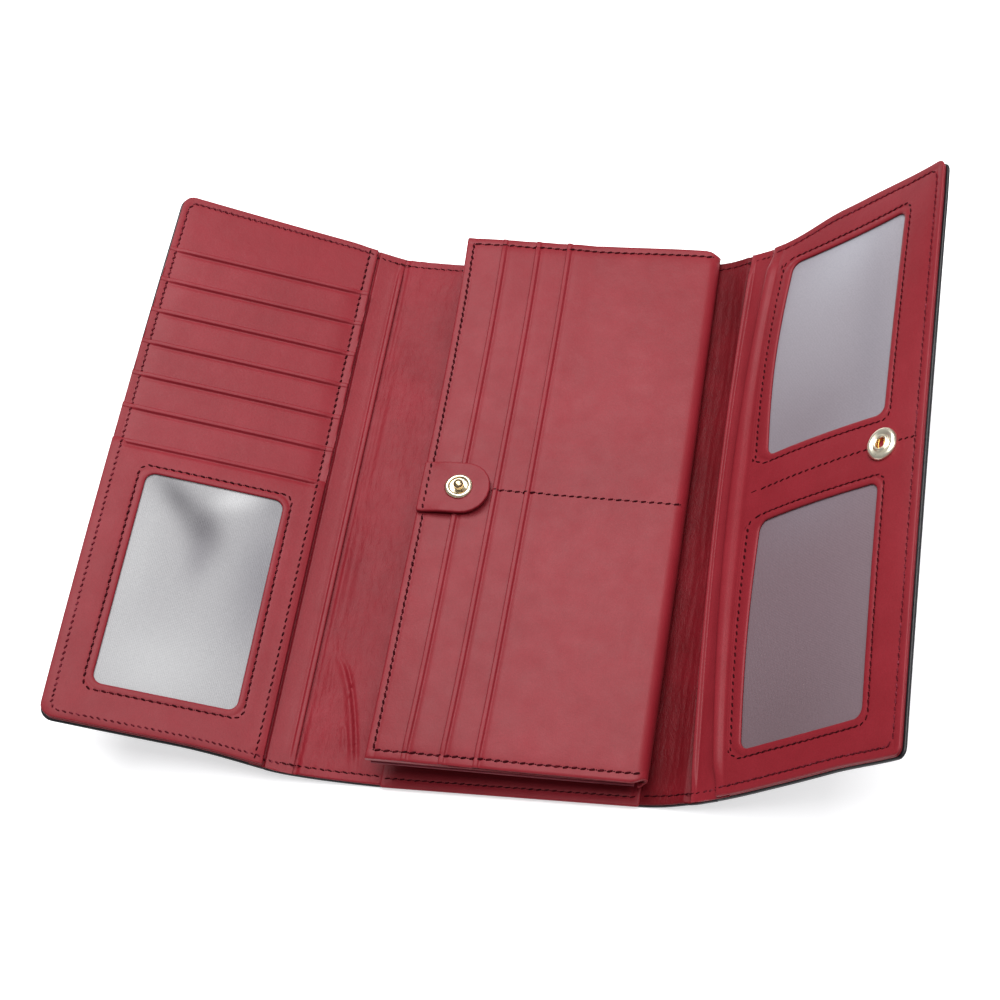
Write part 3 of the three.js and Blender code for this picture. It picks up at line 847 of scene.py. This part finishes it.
CARD_U = 10.2

# left slip panel: its free edge next to the fold is folded and creased
vs_left = np.concatenate([[-97.2, -96.8], np.linspace(-96, 96, 81), [96.8, 97.2]])


def along(fmap, base=1.95):
    def at(p, q, w):
        edge = HALF - np.abs(q)
        fade = smooth(2.5, 10, edge)
        ww = np.where(w > base, base + (w - base) * fade, w - 0.0)
        return fmap(p, q, ww - 0.1 * np.exp(-((edge - 2.6) / 0.5) ** 2))
    return at


along_left, along_right = along(left), along(right)


def wide(profile_fn, fmap, name, stations, material, body, replaces, slot):
    return sweep(name, fmap, stations, profile_fn, material, body, replaces, slot)


slip = lip_profile(0.2, 14.5, 1.95, 1.95, 0.6, +1, ridge=0.2, groove=0.28, line=1.9, curl=0.8, dip=(CARD_U - 0.2 - 0.35, 0.55))
edge = sweep("left_slip_edge", along_left, vs_left, slip, RED, None, ("left_slip_panel",), "left_slip_panel")
o0, o1 = hinge_span(-1, "outer", 4.0)
tuple(c * MM for c in o0)
tuple(c * MM for c in o1)
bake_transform(edge)
slab("left_backing", left, (CARD_U, -HALF + 0.35, BOARD_L - 0.5, HALF - 0.35), [4.0, 4.0, 0.3, 0.3], 2.0, 2.6, RED, "left_board",
     rim=[(0.0, 0.45), (0.06, 0.26), (0.2, 0.1), (0.42, 0.02), (0.8, 0.0), (1.6, 0.0), (2.0, 0.05), (2.4, 0.13), (2.8, 0.05), (3.4, 0.0)],
     lift=lambda u, v: 0.35 * (1 - float(smooth(0, 3.6, u - CARD_U))),
     replaces=("left_card_backing",), slot="left_card_backing")

PITCH, TOP = 12.7, 78.7
RISE = 0.7 / PITCH
for k in range(6):
    lip = TOP - k * PITCH
    foot = lip - PITCH - 3.0
    top_lip = 2.8 + 0.5 + RISE * (lip - foot)
    prof = lip_profile(lip, foot, top_lip, 2.8 + 0.5, 0.5, -1, ridge=0.32, groove=0.42, line=1.9, curl=0.3)
    u0, u1 = CARD_U + 0.05, BOARD_L - 0.75 + 0.16 * k
    us = np.concatenate([[u0, u0 + 0.5, u0 + 1.2, u0 + 1.8, u0 + 2.4, u0 + 3.2], np.linspace(u0 + 5, u1 - 5, 20), [u1 - 3.8, u1 - 3.2, u1 - 2.6, u1 - 2.0, u1 - 1.2, u1 - 0.5, u1]])

    def place(p, q, w, lip=lip, foot=foot, u0=u0, u1=u1, k=k):
        # pressed flat under the two seams, the lip dips in a shallow arc between them
        edge = np.minimum(q - u0, u1 - q)
        press = 1 - 0.5 * (1 - smooth(2.0, 7.0, edge))
        base = 3.3 + RISE * (p - foot)
        fade = 0.15 + 0.85 * smooth(1.6, 5.5, edge)
        w = np.where(np.abs(w - base) < 0.46, base + (w - base) * np.where(w > base - 0.3, fade, 1.0), w)
        seam = 0.1 * (np.exp(-((q - u0 - 2.7) / 0.5) ** 2) + np.exp(-((u1 - q - 2.5) / 0.5) ** 2))
        ww = 2.8 + (w - 2.8) * press - seam * (w > 3.0) + 0.35 * (1 - smooth(0, 3.6, q - u0))
        arc = 0.55 * (1 - smooth(0, 9, edge)) * smooth(-6, 0, p - lip)
        return left(q, p + arc, ww)
    sweep(f"left_card_slot_{k + 1}_leather", place, us, prof, RED, "left_board", (f"left_card_slot_{k + 1}",), f"left_card_slot_{k + 1}")

# left window pocket
WT = TOP - 6 * PITCH
F0 = 3.62
def pocket_height(u, v):
    fade = float(smooth(1.5, 6, min(u - CARD_U, BOARD_L - u)))
    return fade * float(crease(WT - v, 0.3, 0.42, 1.9))


POCKET_RIM = [(0.0, 0.45), (0.06, 0.26), (0.2, 0.1), (0.34, 0.0)]
slab("left_window_pocket", left, (CARD_U + 0.05, -HALF + 0.3, BOARD_L + 0.2, WT), [4.2, 0.5, 0.5, 0.3], F0 - 0.08, F0 + 0.5, RED, "left_board",
     holes=[(22.15, -82.0, 67.5, -8.1, 3.2)], rim=POCKET_RIM, hole_rim=WINDOW_RIM, grid=3.2, rows_v=[WT - d for d in CREASE_ROWS],
     height=lambda u, v: pocket_height(u, v) - 0.12 * math.exp(-((min(BOARD_L + 0.2 - u, v + HALF - 0.3) - 2.6) / 0.5) ** 2),
     lift=lambda u, v: 0.35 * (1 - float(smooth(0, 3.6, u - CARD_U))),
     replaces=("left_window_panel",), slot="left_window_panel")


def pane(name, fmap, w, rect, lap, material, body, node_name, droop=0.25):
    a0, b0, a1, b1 = rect
    us, vs = np.linspace(a0 - lap, a1 + lap, 24), np.linspace(b0 - lap, b1 + lap, 36)
    verts, faces, uvs = [], [], []
    for lay, dz in ((0, 0.0), (1, -0.25)):
        for u in us:
            for v in vs:
                s, t = (u - a0) / (a1 - a0), (v - b0) / (b1 - b0)
                sag = -droop * max(0, 4 * s * (1 - s)) * max(0, 4 * t * (1 - t)) * 0.5
                verts.append(fmap(u, v, w + dz + sag))
                uvs.append((s, t))
    m, k = len(vs), len(us) * len(vs)
    for i in range(len(us) - 1):
        for j in range(m - 1):
            a = i * m + j
            faces.append((a, a + 1, a + m + 1, a + m))
            faces.append((k + a, k + a + m, k + a + m + 1, k + a + 1))
    ring = [i * m for i in range(len(us))] + [(len(us) - 1) * m + j for j in range(1, m)] + [i * m + m - 1 for i in range(len(us) - 2, -1, -1)] + list(range(m - 2, 0, -1))
    for i in range(len(ring)):
        a, b = ring[i], ring[(i + 1) % len(ring)]
        faces.append((a, b, k + b, k + a))
    ob = make(name, verts, faces, material, body, True, (node_name,), node_name)
    recalc(ob)
    layer = ob.data.uv_layers.new(name="UVMap")
    for loop in ob.data.loops:
        layer.data[loop.index].uv = uvs[loop.vertex_index]
    return ob


pane("left_window_film_sheet", left, F0 - 0.30, (22.15, -82.0, 67.5, -8.1), 3.0, FILM_L, "left_board", "left_window_film")

# right board
slip = lip_profile(0.2, 14.0, 1.95, 1.95, 0.6, +1, ridge=0.42, groove=0.24, line=2.0, curl=0.4)
edge = sweep("right_slip_edge", along_right, vs_left, slip, RED, None, ("right_slip_panel",), "right_slip_panel")
o0, o1 = hinge_span(1, "outer", 4.0)
tuple(c * MM for c in o0)
tuple(c * MM for c in o1)
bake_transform(edge)
FR = 2.5
UP, LOW = (17.5, 12.2, 63.1, 86.4), (17.5, -84.6, 63.1, -11.2)


def right_height(u, v):
    fade = float(smooth(4, 11, HALF - abs(v)))
    return fade * (float(crease(u - 10.8, 0.75, 0.2, 2.0)) + 0.8 * (1 - float(smooth(0, 6, u - 10.8))))


RIGHT_ROWS = [10.8 + d for d in CREASE_ROWS]
slab("right_window_pocket", right, (10.8, -HALF + 0.35, BOARD_R - 0.35, HALF - 0.35), [2.8, 3.1, 0.4, 0.4], FR - 0.1, FR + 0.6, RED, "right_board",
     holes=[(*UP, 3.0), (*LOW, 3.0)], rim=SEWN_RIM, hole_rim=WINDOW_RIM, grid=3.2, height=right_height, rows_u=RIGHT_ROWS[3:],
     replaces=("right_window_panel",), slot="right_window_panel")
slab("right_backing", right, (12.5, -HALF + 0.6, BOARD_R - 1.2, HALF - 0.6), [2.6, 2.2, 0.3, 0.3], 1.0, 1.95, RED, "right_board",
     rim=COVER_RIM, grid=8.0, slot="right_slip_panel")
pane("right_film_upper_sheet", right, FR - 0.2, UP, 3.0, FILM_RU, "right_board", "right_window_film_upper", 0.3)
pane("right_film_lower_sheet", right, FR - 0.2, LOW, 3.0, FILM_RL, "right_board", "right_window_film_lower", 0.3)

# ------------------------------------------------------------------ leaf
TOPV, BOTV = 98.9, -93.8
LEAF_V = np.concatenate([[BOTV, BOTV + 0.12, BOTV + 0.4, BOTV + 0.9, BOTV + 1.8, BOTV + 2.3, BOTV + 2.7, BOTV + 3.1, BOTV + 3.7],
                         np.linspace(BOTV + 6, TOPV - 6, 60), [TOPV - 3.7, TOPV - 3.1, TOPV - 2.7, TOPV - 2.3, TOPV - 1.8, TOPV - 0.9, TOPV - 0.4, TOPV - 0.12, TOPV]])


def leaf_place(press=0.35, spine=False):
    def at(p, q, w):
        if spine:        # the binding always stands on the lining
            reach = 9.42 - np.where(q > 0, 2.4, 3.52) * q / 97 - 2.0
            w = np.where(np.asarray(w) < -0.8, -0.8 + (w + 0.8) * np.where(np.asarray(p) > 76, np.clip(reach / 7.0, 0.5, 1.2), 1.0), w)
        edge = np.minimum(q - BOTV, TOPV - q)
        k = 1 - press * (1 - smooth(1.5, 6.0, edge))
        ww = -1.6 + (w + 1.6) * k
        ww = ww - 0.12 * np.exp(-((edge - 2.7) / 0.5) ** 2) - 0.10 * np.exp(-((q - 0.0) / 0.55) ** 2) * (np.asarray(p) > 22)
        ww = ww - 0.28 * (1 - smooth(0, 0.45, edge)) - 0.2 * (1 - smooth(0.3, 2.2, edge)) * (ww > -1.0)
        turn = smooth(79.5, 86, p)
        q = q - np.sign(q) * 1.9 * turn * turn * smooth(12, 0, edge)
        return leaf(p, q, ww)
    return at


S1, S2, S3 = 10.7, 22.4, 33.2
FALL = 0.074
for name, lip, foot, node_name in (("leaf_slot_1_leather", S1, S2 + 3.2, "leaf_slot_1"), ("leaf_slot_2_leather", S2, S3 + 3.2, "leaf_slot_2")):
    prof = lip_profile(lip, foot, 0.0, -FALL * (foot - lip), 0.5, +1, ridge=0.2, groove=0.34, line=1.9)
    sweep(name, leaf_place(), LEAF_V, prof, RED, "centre", (node_name,), node_name)

# front layer with its rounded binding down to the lining, one strip of leather
top = lip_profile(S3, 82.3, 0.0, 0.0, 0.5, +1, ridge=0.2, groove=0.34, line=1.9)
n_top = len(top) - 6
front = []
for (p, w) in top[:n_top]:
    d = p - S3
    front.append((p, w - min(0.8, FALL * d)))
END = front[-1]
CR = 3.5
for a in np.linspace(90, -80, 16)[1:]:
    front.append((END[0] + CR * math.cos(math.radians(a)), END[1] - CR + CR * math.sin(math.radians(a))))
back = []
for a in np.linspace(-80, 90, 14):
    r = CR - 0.9
    back.append((END[0] + r * math.cos(math.radians(a)), END[1] - CR + r * math.sin(math.radians(a))))
back += [(70, -1.35), (50, -1.35), (S3 + 10.8, -1.35), (S3 + 0.2, -0.5)]
sweep("leaf_front_leather", leaf_place(0.25, True), LEAF_V, front + back, RED, "centre", ("leaf_front_panel", "leaf_spine"), "leaf_front_panel")

board = [(0.0, -1.9), (0.02, -1.2), (0.15, -0.95), (0.4, -0.82), (0.8, -0.78), (1.8, -0.78), (2.3, -0.83), (2.7, -0.92), (3.1, -0.83), (3.7, -0.78),
         (7.0, -0.78), (9.5, -0.78), (S1 + 1, -0.85), (25.6, -1.95), (50, -1.95), (82.2, -1.95), (82.2, -2.9), (50, -2.9), (25, -2.9), (3, -2.9), (0.3, -2.8), (0.08, -2.5)]
sweep("leaf_board_leather", leaf_place(0.0), LEAF_V, board, RED, "centre", ("leaf_board",), "leaf_board")


def under_place(p, q, w):
    edge = np.minimum(q - (BOTV + 0.3), (TOPV - 0.5) - q)
    return leaf(p, q, w + 0.25 * np.sin(q * 0.11 + 1.0) * smooth(0, 40, p) - 0.1 * np.sin(q * 0.05))


under = [(1.4, -3.95), (1.45, -3.78), (1.6, -3.72), (10, -3.75), (30, -3.8), (60, -3.8), (82.0, -3.6), (82.0, -3.95), (60, -4.15), (30, -4.15), (10, -4.15), (1.6, -4.15), (1.42, -4.1)]
sweep("leaf_under_leather", under_place, np.concatenate([[BOTV - 0.35, BOTV - 0.2], np.linspace(BOTV + 3, TOPV - 3, 50), [TOPV - 0.8, TOPV - 0.5]]), under, EDGE, "centre", ("leaf_under_panel",), "leaf_under_panel")

# base page on the lining, its lower edge stands a little proud
slab("base_page_leather", lambda u, v, w: np.stack(np.broadcast_arrays(np.asarray(u, float), np.asarray(v, float), np.asarray(w, float)), -1),
     (-40.5, -HALF - 0.6, 40.4, HALF - 1.5), 1.0, INNER + 0.05, INNER + 0.95, RED, "centre", rim=SEWN_RIM, grid=5.0,
     replaces=("base_page",), slot="base_page")

# ------------------------------------------------------------------ snap tab
TAB_U0, TAB_U1, TAB_V, TAB_H = 0.2, 22.0, -1.0, 9.1


def tab_map(u, v, w):
    # it lies over the slot edges, dips near its sewn end and rises slightly at its round end
    u = np.asarray(u, float)
    sag = 0.45 * smooth(13, 22, u) - 0.85 * (1 - smooth(1.5, 8, u))
    return leaf(u, np.asarray(v, float) + 0.0 * u, np.asarray(w, float) + sag)


slab("snap_tab_leather", tab_map, (TAB_U0 - 0.1, TAB_V - TAB_H, TAB_U1, TAB_V + TAB_H), [8.8, 8.8, 0.6, 0.6], 0.55, 1.8, RED, "centre",
     rim=[(0.0, 0.6), (0.04, 0.36), (0.12, 0.18), (0.28, 0.06), (0.5, 0.0), (1.0, 0.0)],
     grid=2.0, step=1.5, replaces=("snap_tab",), slot="snap_tab")

# ------------------------------------------------------------------ stitches
HEX = [(math.cos(math.radians(60 * k)), math.sin(math.radians(60 * k))) for k in range(6)]


def path_points(points, pitch, closed=False):
    """Even steps along a polyline, with the direction at each."""
    p = np.array(points, float)
    if closed:
        p = np.concatenate([p, p[:1]])
    seg = np.hypot(*np.diff(p, axis=0).T)
    s = np.concatenate([[0], np.cumsum(seg)])
    n = max(2, int(round(s[-1] / pitch)))
    at = np.linspace(0, s[-1], n + 1)[:-1] + s[-1] / n / 2
    out = []
    for a in at:
        x, y = np.interp(a, s, p[:, 0]), np.interp(a, s, p[:, 1])
        b, c = min(a + 0.3, s[-1]), max(a - 0.3, 0)
        d = np.array([np.interp(b, s, p[:, 0]) - np.interp(c, s, p[:, 0]), np.interp(b, s, p[:, 1]) - np.interp(c, s, p[:, 1])])
        out.append((np.array([x, y]), d / (np.linalg.norm(d) + 1e-9), s[-1] / n))
    return out


def stitch_mesh(fmap, level, runs, radius=0.3, fill_share=0.74, slant=0.22, sink=0.06):
    """Sewn thread: one short sunk lozenge for each stitch, and a needle hole between two stitches, drawn as a dark disc
    of painted shade.
    """
    verts, faces, hverts, hfaces = [], [], [], []
    for points, pitch, closed in runs:
        for c, d, step in path_points(points, pitch, closed):
            n = np.array([-d[1], d[0]])
            L = step * fill_share * (0.94 + 0.12 * rng.random())
            tilt = slant * (1 + 0.5 * (rng.random() - 0.5))
            dd = d * math.cos(tilt) + n * math.sin(tilt)
            nn = np.array([-dd[1], dd[0]])
            at = len(verts)
            r0 = radius * (0.93 + 0.14 * rng.random())
            jog = n * (rng.random() - 0.5) * 0.10
            prof = [(-0.5, 0.25, -0.22), (-0.38, 0.85, 0.0), (0.0, 1.05, 0.05), (0.38, 0.85, 0.0), (0.5, 0.25, -0.22)]
            for t, k, h in prof:
                q = c + jog + dd * (t * L)
                lv = level(q[0], q[1])
                for hx, hy in HEX:
                    pp = q + nn * hx * r0 * k
                    verts.append(fmap(pp[0], pp[1], lv - sink + h * 0.6 + hy * r0 * k * 0.8))
            for i in range(len(prof) - 1):
                for j in range(6):
                    a, b = at + i * 6 + j, at + i * 6 + (j + 1) % 6
                    faces.append((a, b, b + 6, a + 6))
            faces.append(tuple(range(at, at + 6))[::-1])
            faces.append(tuple(range(at + 24, at + 30)))
            # needle hole: a dark disc whose colour is painted shade
            hc = c + d * step / 2
            hat = len(hverts)
            lv = level(hc[0], hc[1])
            for hx, hy in HEX:
                pp = hc + d * hx * 0.3 + n * hy * 0.2
                hverts.append(fmap(pp[0], pp[1], lv - 0.075))
            hverts.append(fmap(hc[0], hc[1], lv - 0.02))
            for j in range(6):
                hfaces.append((hat + j, hat + (j + 1) % 6, hat + 6))
    return verts, faces, hverts, hfaces


def stitches(name, fmap, level, runs, body, material=None, **kw):
    v, f, hv, hf = stitch_mesh(fmap, level, runs, **kw)
    ob = make(name, v, f, material or THREAD, body)
    recalc(ob)
    ho = make(name + "_holes", hv, hf, HOLE_SHADE, body)
    recalc(ho)
    return ob


def rounded_path(x0, y0, x1, y1, r, sides="all"):
    p = loop_points(x0, y0, x1, y1, r, 0.0, arc=8, step=4)
    return [tuple(a) for a in p]


# level of the face under each seam
def level_left(u, v):
    return level_flat(u, v) + (0.35 * (1 - float(smooth(0, 3.6, u - CARD_U))) if u > CARD_U else 0)


def level_flat(u, v):
    if u < CARD_U:
        return 1.95
    if v > TOP:
        return 2.6
    if v > WT:
        k = int((TOP - v) // PITCH)
        lip = TOP - k * PITCH
        foot = lip - PITCH - 3.0
        w = 3.3 + RISE * (v - foot)
        return 2.8 + (w - 2.8) * 0.55
    return F0 + 0.5


# outer seam of the left board: from the fold's end round the three free sides
def board_seam(u_end, inset, r, v_extra=0.0):
    pts = [(4.6, HALF - inset)]
    pts += [(u_end - inset - r, HALF - inset)]
    c = (u_end - inset - r, HALF - inset - r)
    pts += [(c[0] + r * math.sin(math.radians(a)), c[1] + r * math.cos(math.radians(a))) for a in (20, 45, 70)]
    pts += [(u_end - inset, HALF - inset - r), (u_end - inset, -HALF + inset + r)]
    c = (u_end - inset - r, -HALF + inset + r)
    pts += [(c[0] + r * math.cos(math.radians(a)), c[1] - r * math.sin(math.radians(a))) for a in (20, 45, 70)]
    pts += [(u_end - inset - r, -HALF + inset), (4.6, -HALF + inset)]
    return pts


stitches("thread_left_board", left, level_left, [(board_seam(BOARD_L - 0.2, 2.7, 3.0), 2.1, False)], "left_board", radius=0.30, fill_share=0.74, slant=0.4, sink=0.0, material=THREAD_PALE)
stitches("thread_left_slots", left, level_left, [([(CARD_U + 2.75, 96.5), (CARD_U + 2.75, -96.5)], 2.45, False)], "left_board", radius=0.33, sink=0.02)
stitches("thread_left_window", left, lambda u, v: F0 + 0.5, [(rounded_path(22.15 - 2.5, -84.5, 67.5 + 2.5, -5.6, 3.2), 2.45, True)], "left_board", radius=0.32, sink=0.03)


def level_right(u, v):
    return FR + 0.6 if u > 10.9 else 1.95


stitches("thread_right_board", right, level_right, [(board_seam(BOARD_R - 0.3, 3.0, 3.0), 2.3, False)], "right_board", radius=0.28, sink=0.02, material=THREAD_PALE)
stitches("thread_right_window_upper", right, lambda u, v: FR + 0.6, [(rounded_path(UP[0] - 2.5, UP[1] - 2.5, UP[2] + 2.5, UP[3] + 2.5, 3.2), 2.3, True)], "right_board", radius=0.27, sink=0.02)
stitches("thread_right_window_lower", right, lambda u, v: FR + 0.6, [(rounded_path(LOW[0] - 2.5, LOW[1] - 2.5, LOW[2] + 2.5, LOW[3] + 2.5, 3.2), 2.3, True)], "right_board", radius=0.27, sink=0.02)
stitches("thread_right_middle", right, lambda u, v: (FR + 0.6 if u > 10.9 else 2.0) + (0.1 if 10.9 < u < 12.8 else 0), [([(11.6, 0.5), (58.6, 1.0)], 2.5, False), ([(69.4, 1.2), (76.5, 1.3)], 2.5, False)], "right_board", radius=0.30, sink=0.02)


def leaf_level(u, v):
    if u < S1:
        return -0.8
    k = 1 - 0.35 * (1 - float(smooth(1.5, 6.0, min(v - BOTV, TOPV - v))))
    if u < S2:
        w = -FALL * (u - S1)
    elif u < S3:
        w = -FALL * (u - S2)
    else:
        w = -min(0.8, FALL * (u - S3))
        k = 1 - 0.25 * (1 - float(smooth(1.5, 6.0, min(v - BOTV, TOPV - v))))
    return -1.6 + (w + 1.6) * k


stitches("thread_leaf", leaf, lambda u, v: leaf_level(u, v) + 0.06, [
    ([(84.0, BOTV + 2.7), (2.3, BOTV + 2.7)], 2.6, False),
    ([(2.3, BOTV + 2.7), (2.3, TAB_V - TAB_H - 0.5)], 2.4, False),
    ([(2.3, TAB_V + TAB_H + 0.5), (2.3, TOPV - 2.7)], 2.4, False),
    ([(2.3, TOPV - 2.7), (83.5, TOPV - 2.7)], 2.6, False),
    ([(TAB_U1 - 0.4, 0.0), (84.2, 0.0)], 2.6, False)], "centre", radius=0.34, sink=0.04)
stitches("thread_tab", tab_map, lambda u, v: 1.8, [([(2.3, TAB_V - TAB_H + 0.4), (2.3, TAB_V + TAB_H - 0.4)], 2.4, False)], "centre", radius=0.34, sink=0.0)
stitches("thread_base_page", lambda u, v, w: np.array([u, v, w], float), lambda u, v: INNER + 0.92, [([(-39.5, -HALF + 2.2), (39.5, -HALF + 2.2)], 2.4, False)], "centre", radius=0.24, sink=0.02)

for side, tag, fold, board_body in ((-1, "left", "left_fold", "left_board"), (1, "right", "right_fold", "right_board")):
    at = COVER[side]
    i0, i1 = hinge_span(side, "inner", 5.0)
    o0, o1 = hinge_span(side, "outer", 4.0)
    for part, s0, s1, a, b, p, q in (("inner", 41.0, at.mid, "centre", fold, i0, i1), ("root", at.mid, at.fold2 + 4.6, fold, board_body, o0, o1)):
        runs = [([(s0, HALF - 3.0), (s1, HALF - 3.0)], 2.3, False), ([(s0, -HALF + 3.0), (s1, -HALF + 3.0)], 2.3, False)]
        v, f, hv, hf = stitch_mesh(at, lambda s, t, f=at.fold2: INNER if s < f + 0.2 else 1.95, runs, radius=0.24, sink=0.03)
        for nm, vv, ff, mt in ((f"thread_{tag}_fold_{part}", v, f, THREAD), (f"thread_{tag}_fold_{part}_holes", hv, hf, HOLE_SHADE)):
            ob = make(nm, vv, ff, mt)
            recalc(ob)
            tuple(c * MM for c in p)
            tuple(c * MM for c in q)
            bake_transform(ob)

# ------------------------------------------------------------------ snap
def turned(name, profile, place, material, body, replaces=(), slot=None, seg=48):
    verts, faces = [], []
    n = len(profile)
    for i in range(seg):
        a = 2 * math.pi * i / seg
        for r, z in profile:
            verts.append(place(r * math.cos(a), r * math.sin(a), z))
    for i in range(seg):
        for j in range(n - 1):
            a, b = i * n + j, ((i + 1) % seg) * n + j
            faces.append((a, b, b + 1, a + 1))
    return recalc(make(name, verts, faces, material, body, True, replaces, slot))


SU, SV = 12.0, TAB_V
SB = 1.78


def stud_at(x, y, z):
    x, y = 0.92 * x, 0.92 * y
    return tab_map(SU + 0 * x, SV, SB + z) + (leaf(SU + x, SV + y, 0) - leaf(SU, SV, 0))


turned("stud_disc", [(0.02, 0.42), (1.5, 0.42), (3.0, 0.40), (3.25, 0.52), (3.4, 0.86), (3.62, 1.02), (3.9, 1.04), (4.25, 0.92), (4.6, 0.62), (4.78, 0.3), (4.8, 0.1), (4.6, -0.1)], stud_at, GOLD, "centre", ("snap_stud",), "snap_stud")
turned("stud_ball", [(1.9, 0.40), (1.6, 0.55), (1.42, 0.85), (1.45, 1.15), (1.66, 1.45), (1.8, 1.8), (1.8, 2.1), (1.66, 2.4), (1.38, 2.66), (1.0, 2.84), (0.5, 2.94), (0.02, 2.96)], stud_at, BALL_GOLD_SHADED, "centre", slot="snap_stud")
SKU, SKV, SKB = 64.0, 1.2, FR + 0.6


def socket_at(x, y, z):
    base = right(SKU, SKV, SKB)
    return right(SKU + x, SKV + y, SKB) * 0 + base + (right(SKU + 0.5, SKV, SKB) - right(SKU - 0.5, SKV, SKB)) * x + (right(SKU, SKV + 0.5, SKB) - right(SKU, SKV - 0.5, SKB)) * y + (right(SKU, SKV, SKB + 1) - base) * z


turned("socket_ring", [(5.2, -0.1), (5.38, 0.12), (5.4, 0.5), (5.2, 0.95), (4.8, 1.25), (4.3, 1.36), (3.75, 1.3), (3.3, 1.12), (3.05, 1.0), (2.85, 1.05), (2.7, 1.28), (2.5, 1.5), (2.2, 1.55), (1.95, 1.45), (1.82, 1.2), (1.78, 0.8), (1.78, -0.4)], socket_at, RING, "right_board", ("snap_socket",), "snap_socket")
turned("socket_well", [(1.8, 0.9), (1.75, 0.3), (1.65, -0.35), (1.1, -0.5), (0.02, -0.52)], socket_at, AMBER, "right_board", slot="snap_socket")


# spring wires across the socket's mouth
def wire(name, pts, r, place, material, body):
    verts, faces = [], []
    pts = np.array(pts, float)
    for i, p in enumerate(pts):
        d = pts[min(i + 1, len(pts) - 1)] - pts[max(i - 1, 0)]
        d /= np.linalg.norm(d)
        e = np.cross(d, [0, 0, 1.0])
        e /= np.linalg.norm(e)
        g = np.cross(e, d)
        for k in range(8):
            a = math.pi / 4 * k
            q = p + r * (math.cos(a) * e + math.sin(a) * g)
            verts.append(place(*q))
    for i in range(len(pts) - 1):
        for k in range(8):
            a, b = i * 8 + k, i * 8 + (k + 1) % 8
            faces.append((a, b, b + 8, a + 8))
    faces.append(tuple(range(8)))
    faces.append(tuple(range((len(pts) - 1) * 8, len(pts) * 8)))
    return recalc(make(name, verts, faces, material, body, slot="snap_socket"))


for sgn, nm in ((-1, "a"), (1, "b")):
    wire(f"socket_spring_{nm}", [(sgn * (0.85 + 0.2 * math.cos(t * 1.4)), y, 0.62) for t, y in zip(np.linspace(-1, 1, 9), np.linspace(-1.6, 1.6, 9))], 0.18, socket_at, AMBER, "right_board")

turned("socket_rivet_plate", [(1.2, -1.5), (3.9, -1.5), (4.0, -1.35), (3.9, -1.2), (1.2, -1.2), (1.2, -1.5)], socket_at, AMBER, "right_board", ("snap_socket_washer",), "snap_socket_washer", seg=32)

for hidden in ("snap_stud_washer",):
    ob = bpy.data.objects.get(hidden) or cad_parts.get(hidden)
    if ob is not None:
        ob.data.materials.clear()
        ob.data.materials.append(AMBER)

# ------------------------------------------------------------------ stage, light, camera
def floor_material():
    m, nt, bsdf = nodes_of("pale_floor")
    bsdf.inputs["Base Color"].default_value = (0.80, 0.80, 0.81, 1)
    bsdf.inputs["Emission Color"].default_value = (1, 0.99, 0.995, 1)
    bsdf.inputs["Emission Strength"].default_value = 0.56
    bsdf.inputs["Roughness"].default_value = 0.9
    bsdf.inputs["Specular IOR Level"].default_value = 0.1
    return m


me = bpy.data.meshes.new("floor")
me.from_pydata([(-3, -3, -0.0002), (3, -3, -0.0002), (3, 3, -0.0002), (-3, 3, -0.0002)], [], [(0, 1, 2, 3)])
floor = bpy.data.objects.new("floor", me)
bpy.context.scene.collection.objects.link(floor)
me.materials.append(floor_material())
floor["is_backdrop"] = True


def area(name, loc, target, size, power, color=(1, 1, 1)):
    d = bpy.data.lights.new(name, "AREA")
    d.shape = "RECTANGLE"
    d.size, d.size_y = size
    d.energy = power
    d.color = color
    o = bpy.data.objects.new(name, d)
    bpy.context.scene.collection.objects.link(o)
    o.location = loc
    o.rotation_euler = (Vector(target) - Vector(loc)).to_track_quat("-Z", "Y").to_euler()
    return o


area("key_softbox", (-0.16, 0.66, 1.2), (0, 0, 0), (0.9, 0.7), 17.5)
area("top_softbox", (0.30, 0.0, 1.5), (0, 0, 0), (0.8, 1.0), 15.5)
area("fill_right", (0.9, 0.1, 1.0), (0, 0, 0), (0.6, 0.8), 3.2)

world = bpy.context.scene.world or bpy.data.worlds.new("world")
bpy.context.scene.world = world
world.use_nodes = True
bg = world.node_tree.nodes.get("Background") or world.node_tree.nodes.new("ShaderNodeBackground")
bg.inputs[0].default_value = (0.97, 0.98, 1.0, 1)
bg.inputs[1].default_value = 0.31

bpy.context.scene.view_settings.view_transform = "Standard"

cam = bpy.data.cameras.new("camera")
cam.sensor_width = 36
cam.lens = 1874.5 / 1000 * 36
cam.clip_start = 0.01
co = bpy.data.objects.new("camera", cam)
bpy.context.scene.collection.objects.link(co)
yaw, pit, rol = (math.radians(a) for a in (31.0027, 32.3182, -25.1473))
rot = Matrix.Rotation(yaw, 4, "Z") @ Matrix.Rotation(pit, 4, "X") @ Matrix.Rotation(rol, 4, "Z")
co.matrix_world = Matrix.Translation(Vector((150.1521, -278.0488, 520.5423)) * MM) @ rot
bpy.context.scene.camera = co

VIS_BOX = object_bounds()
plain = lambda b: [[float(c) for c in p] for p in b]
{"cad": plain(CAD_BOX), "visual": plain(VIS_BOX)}
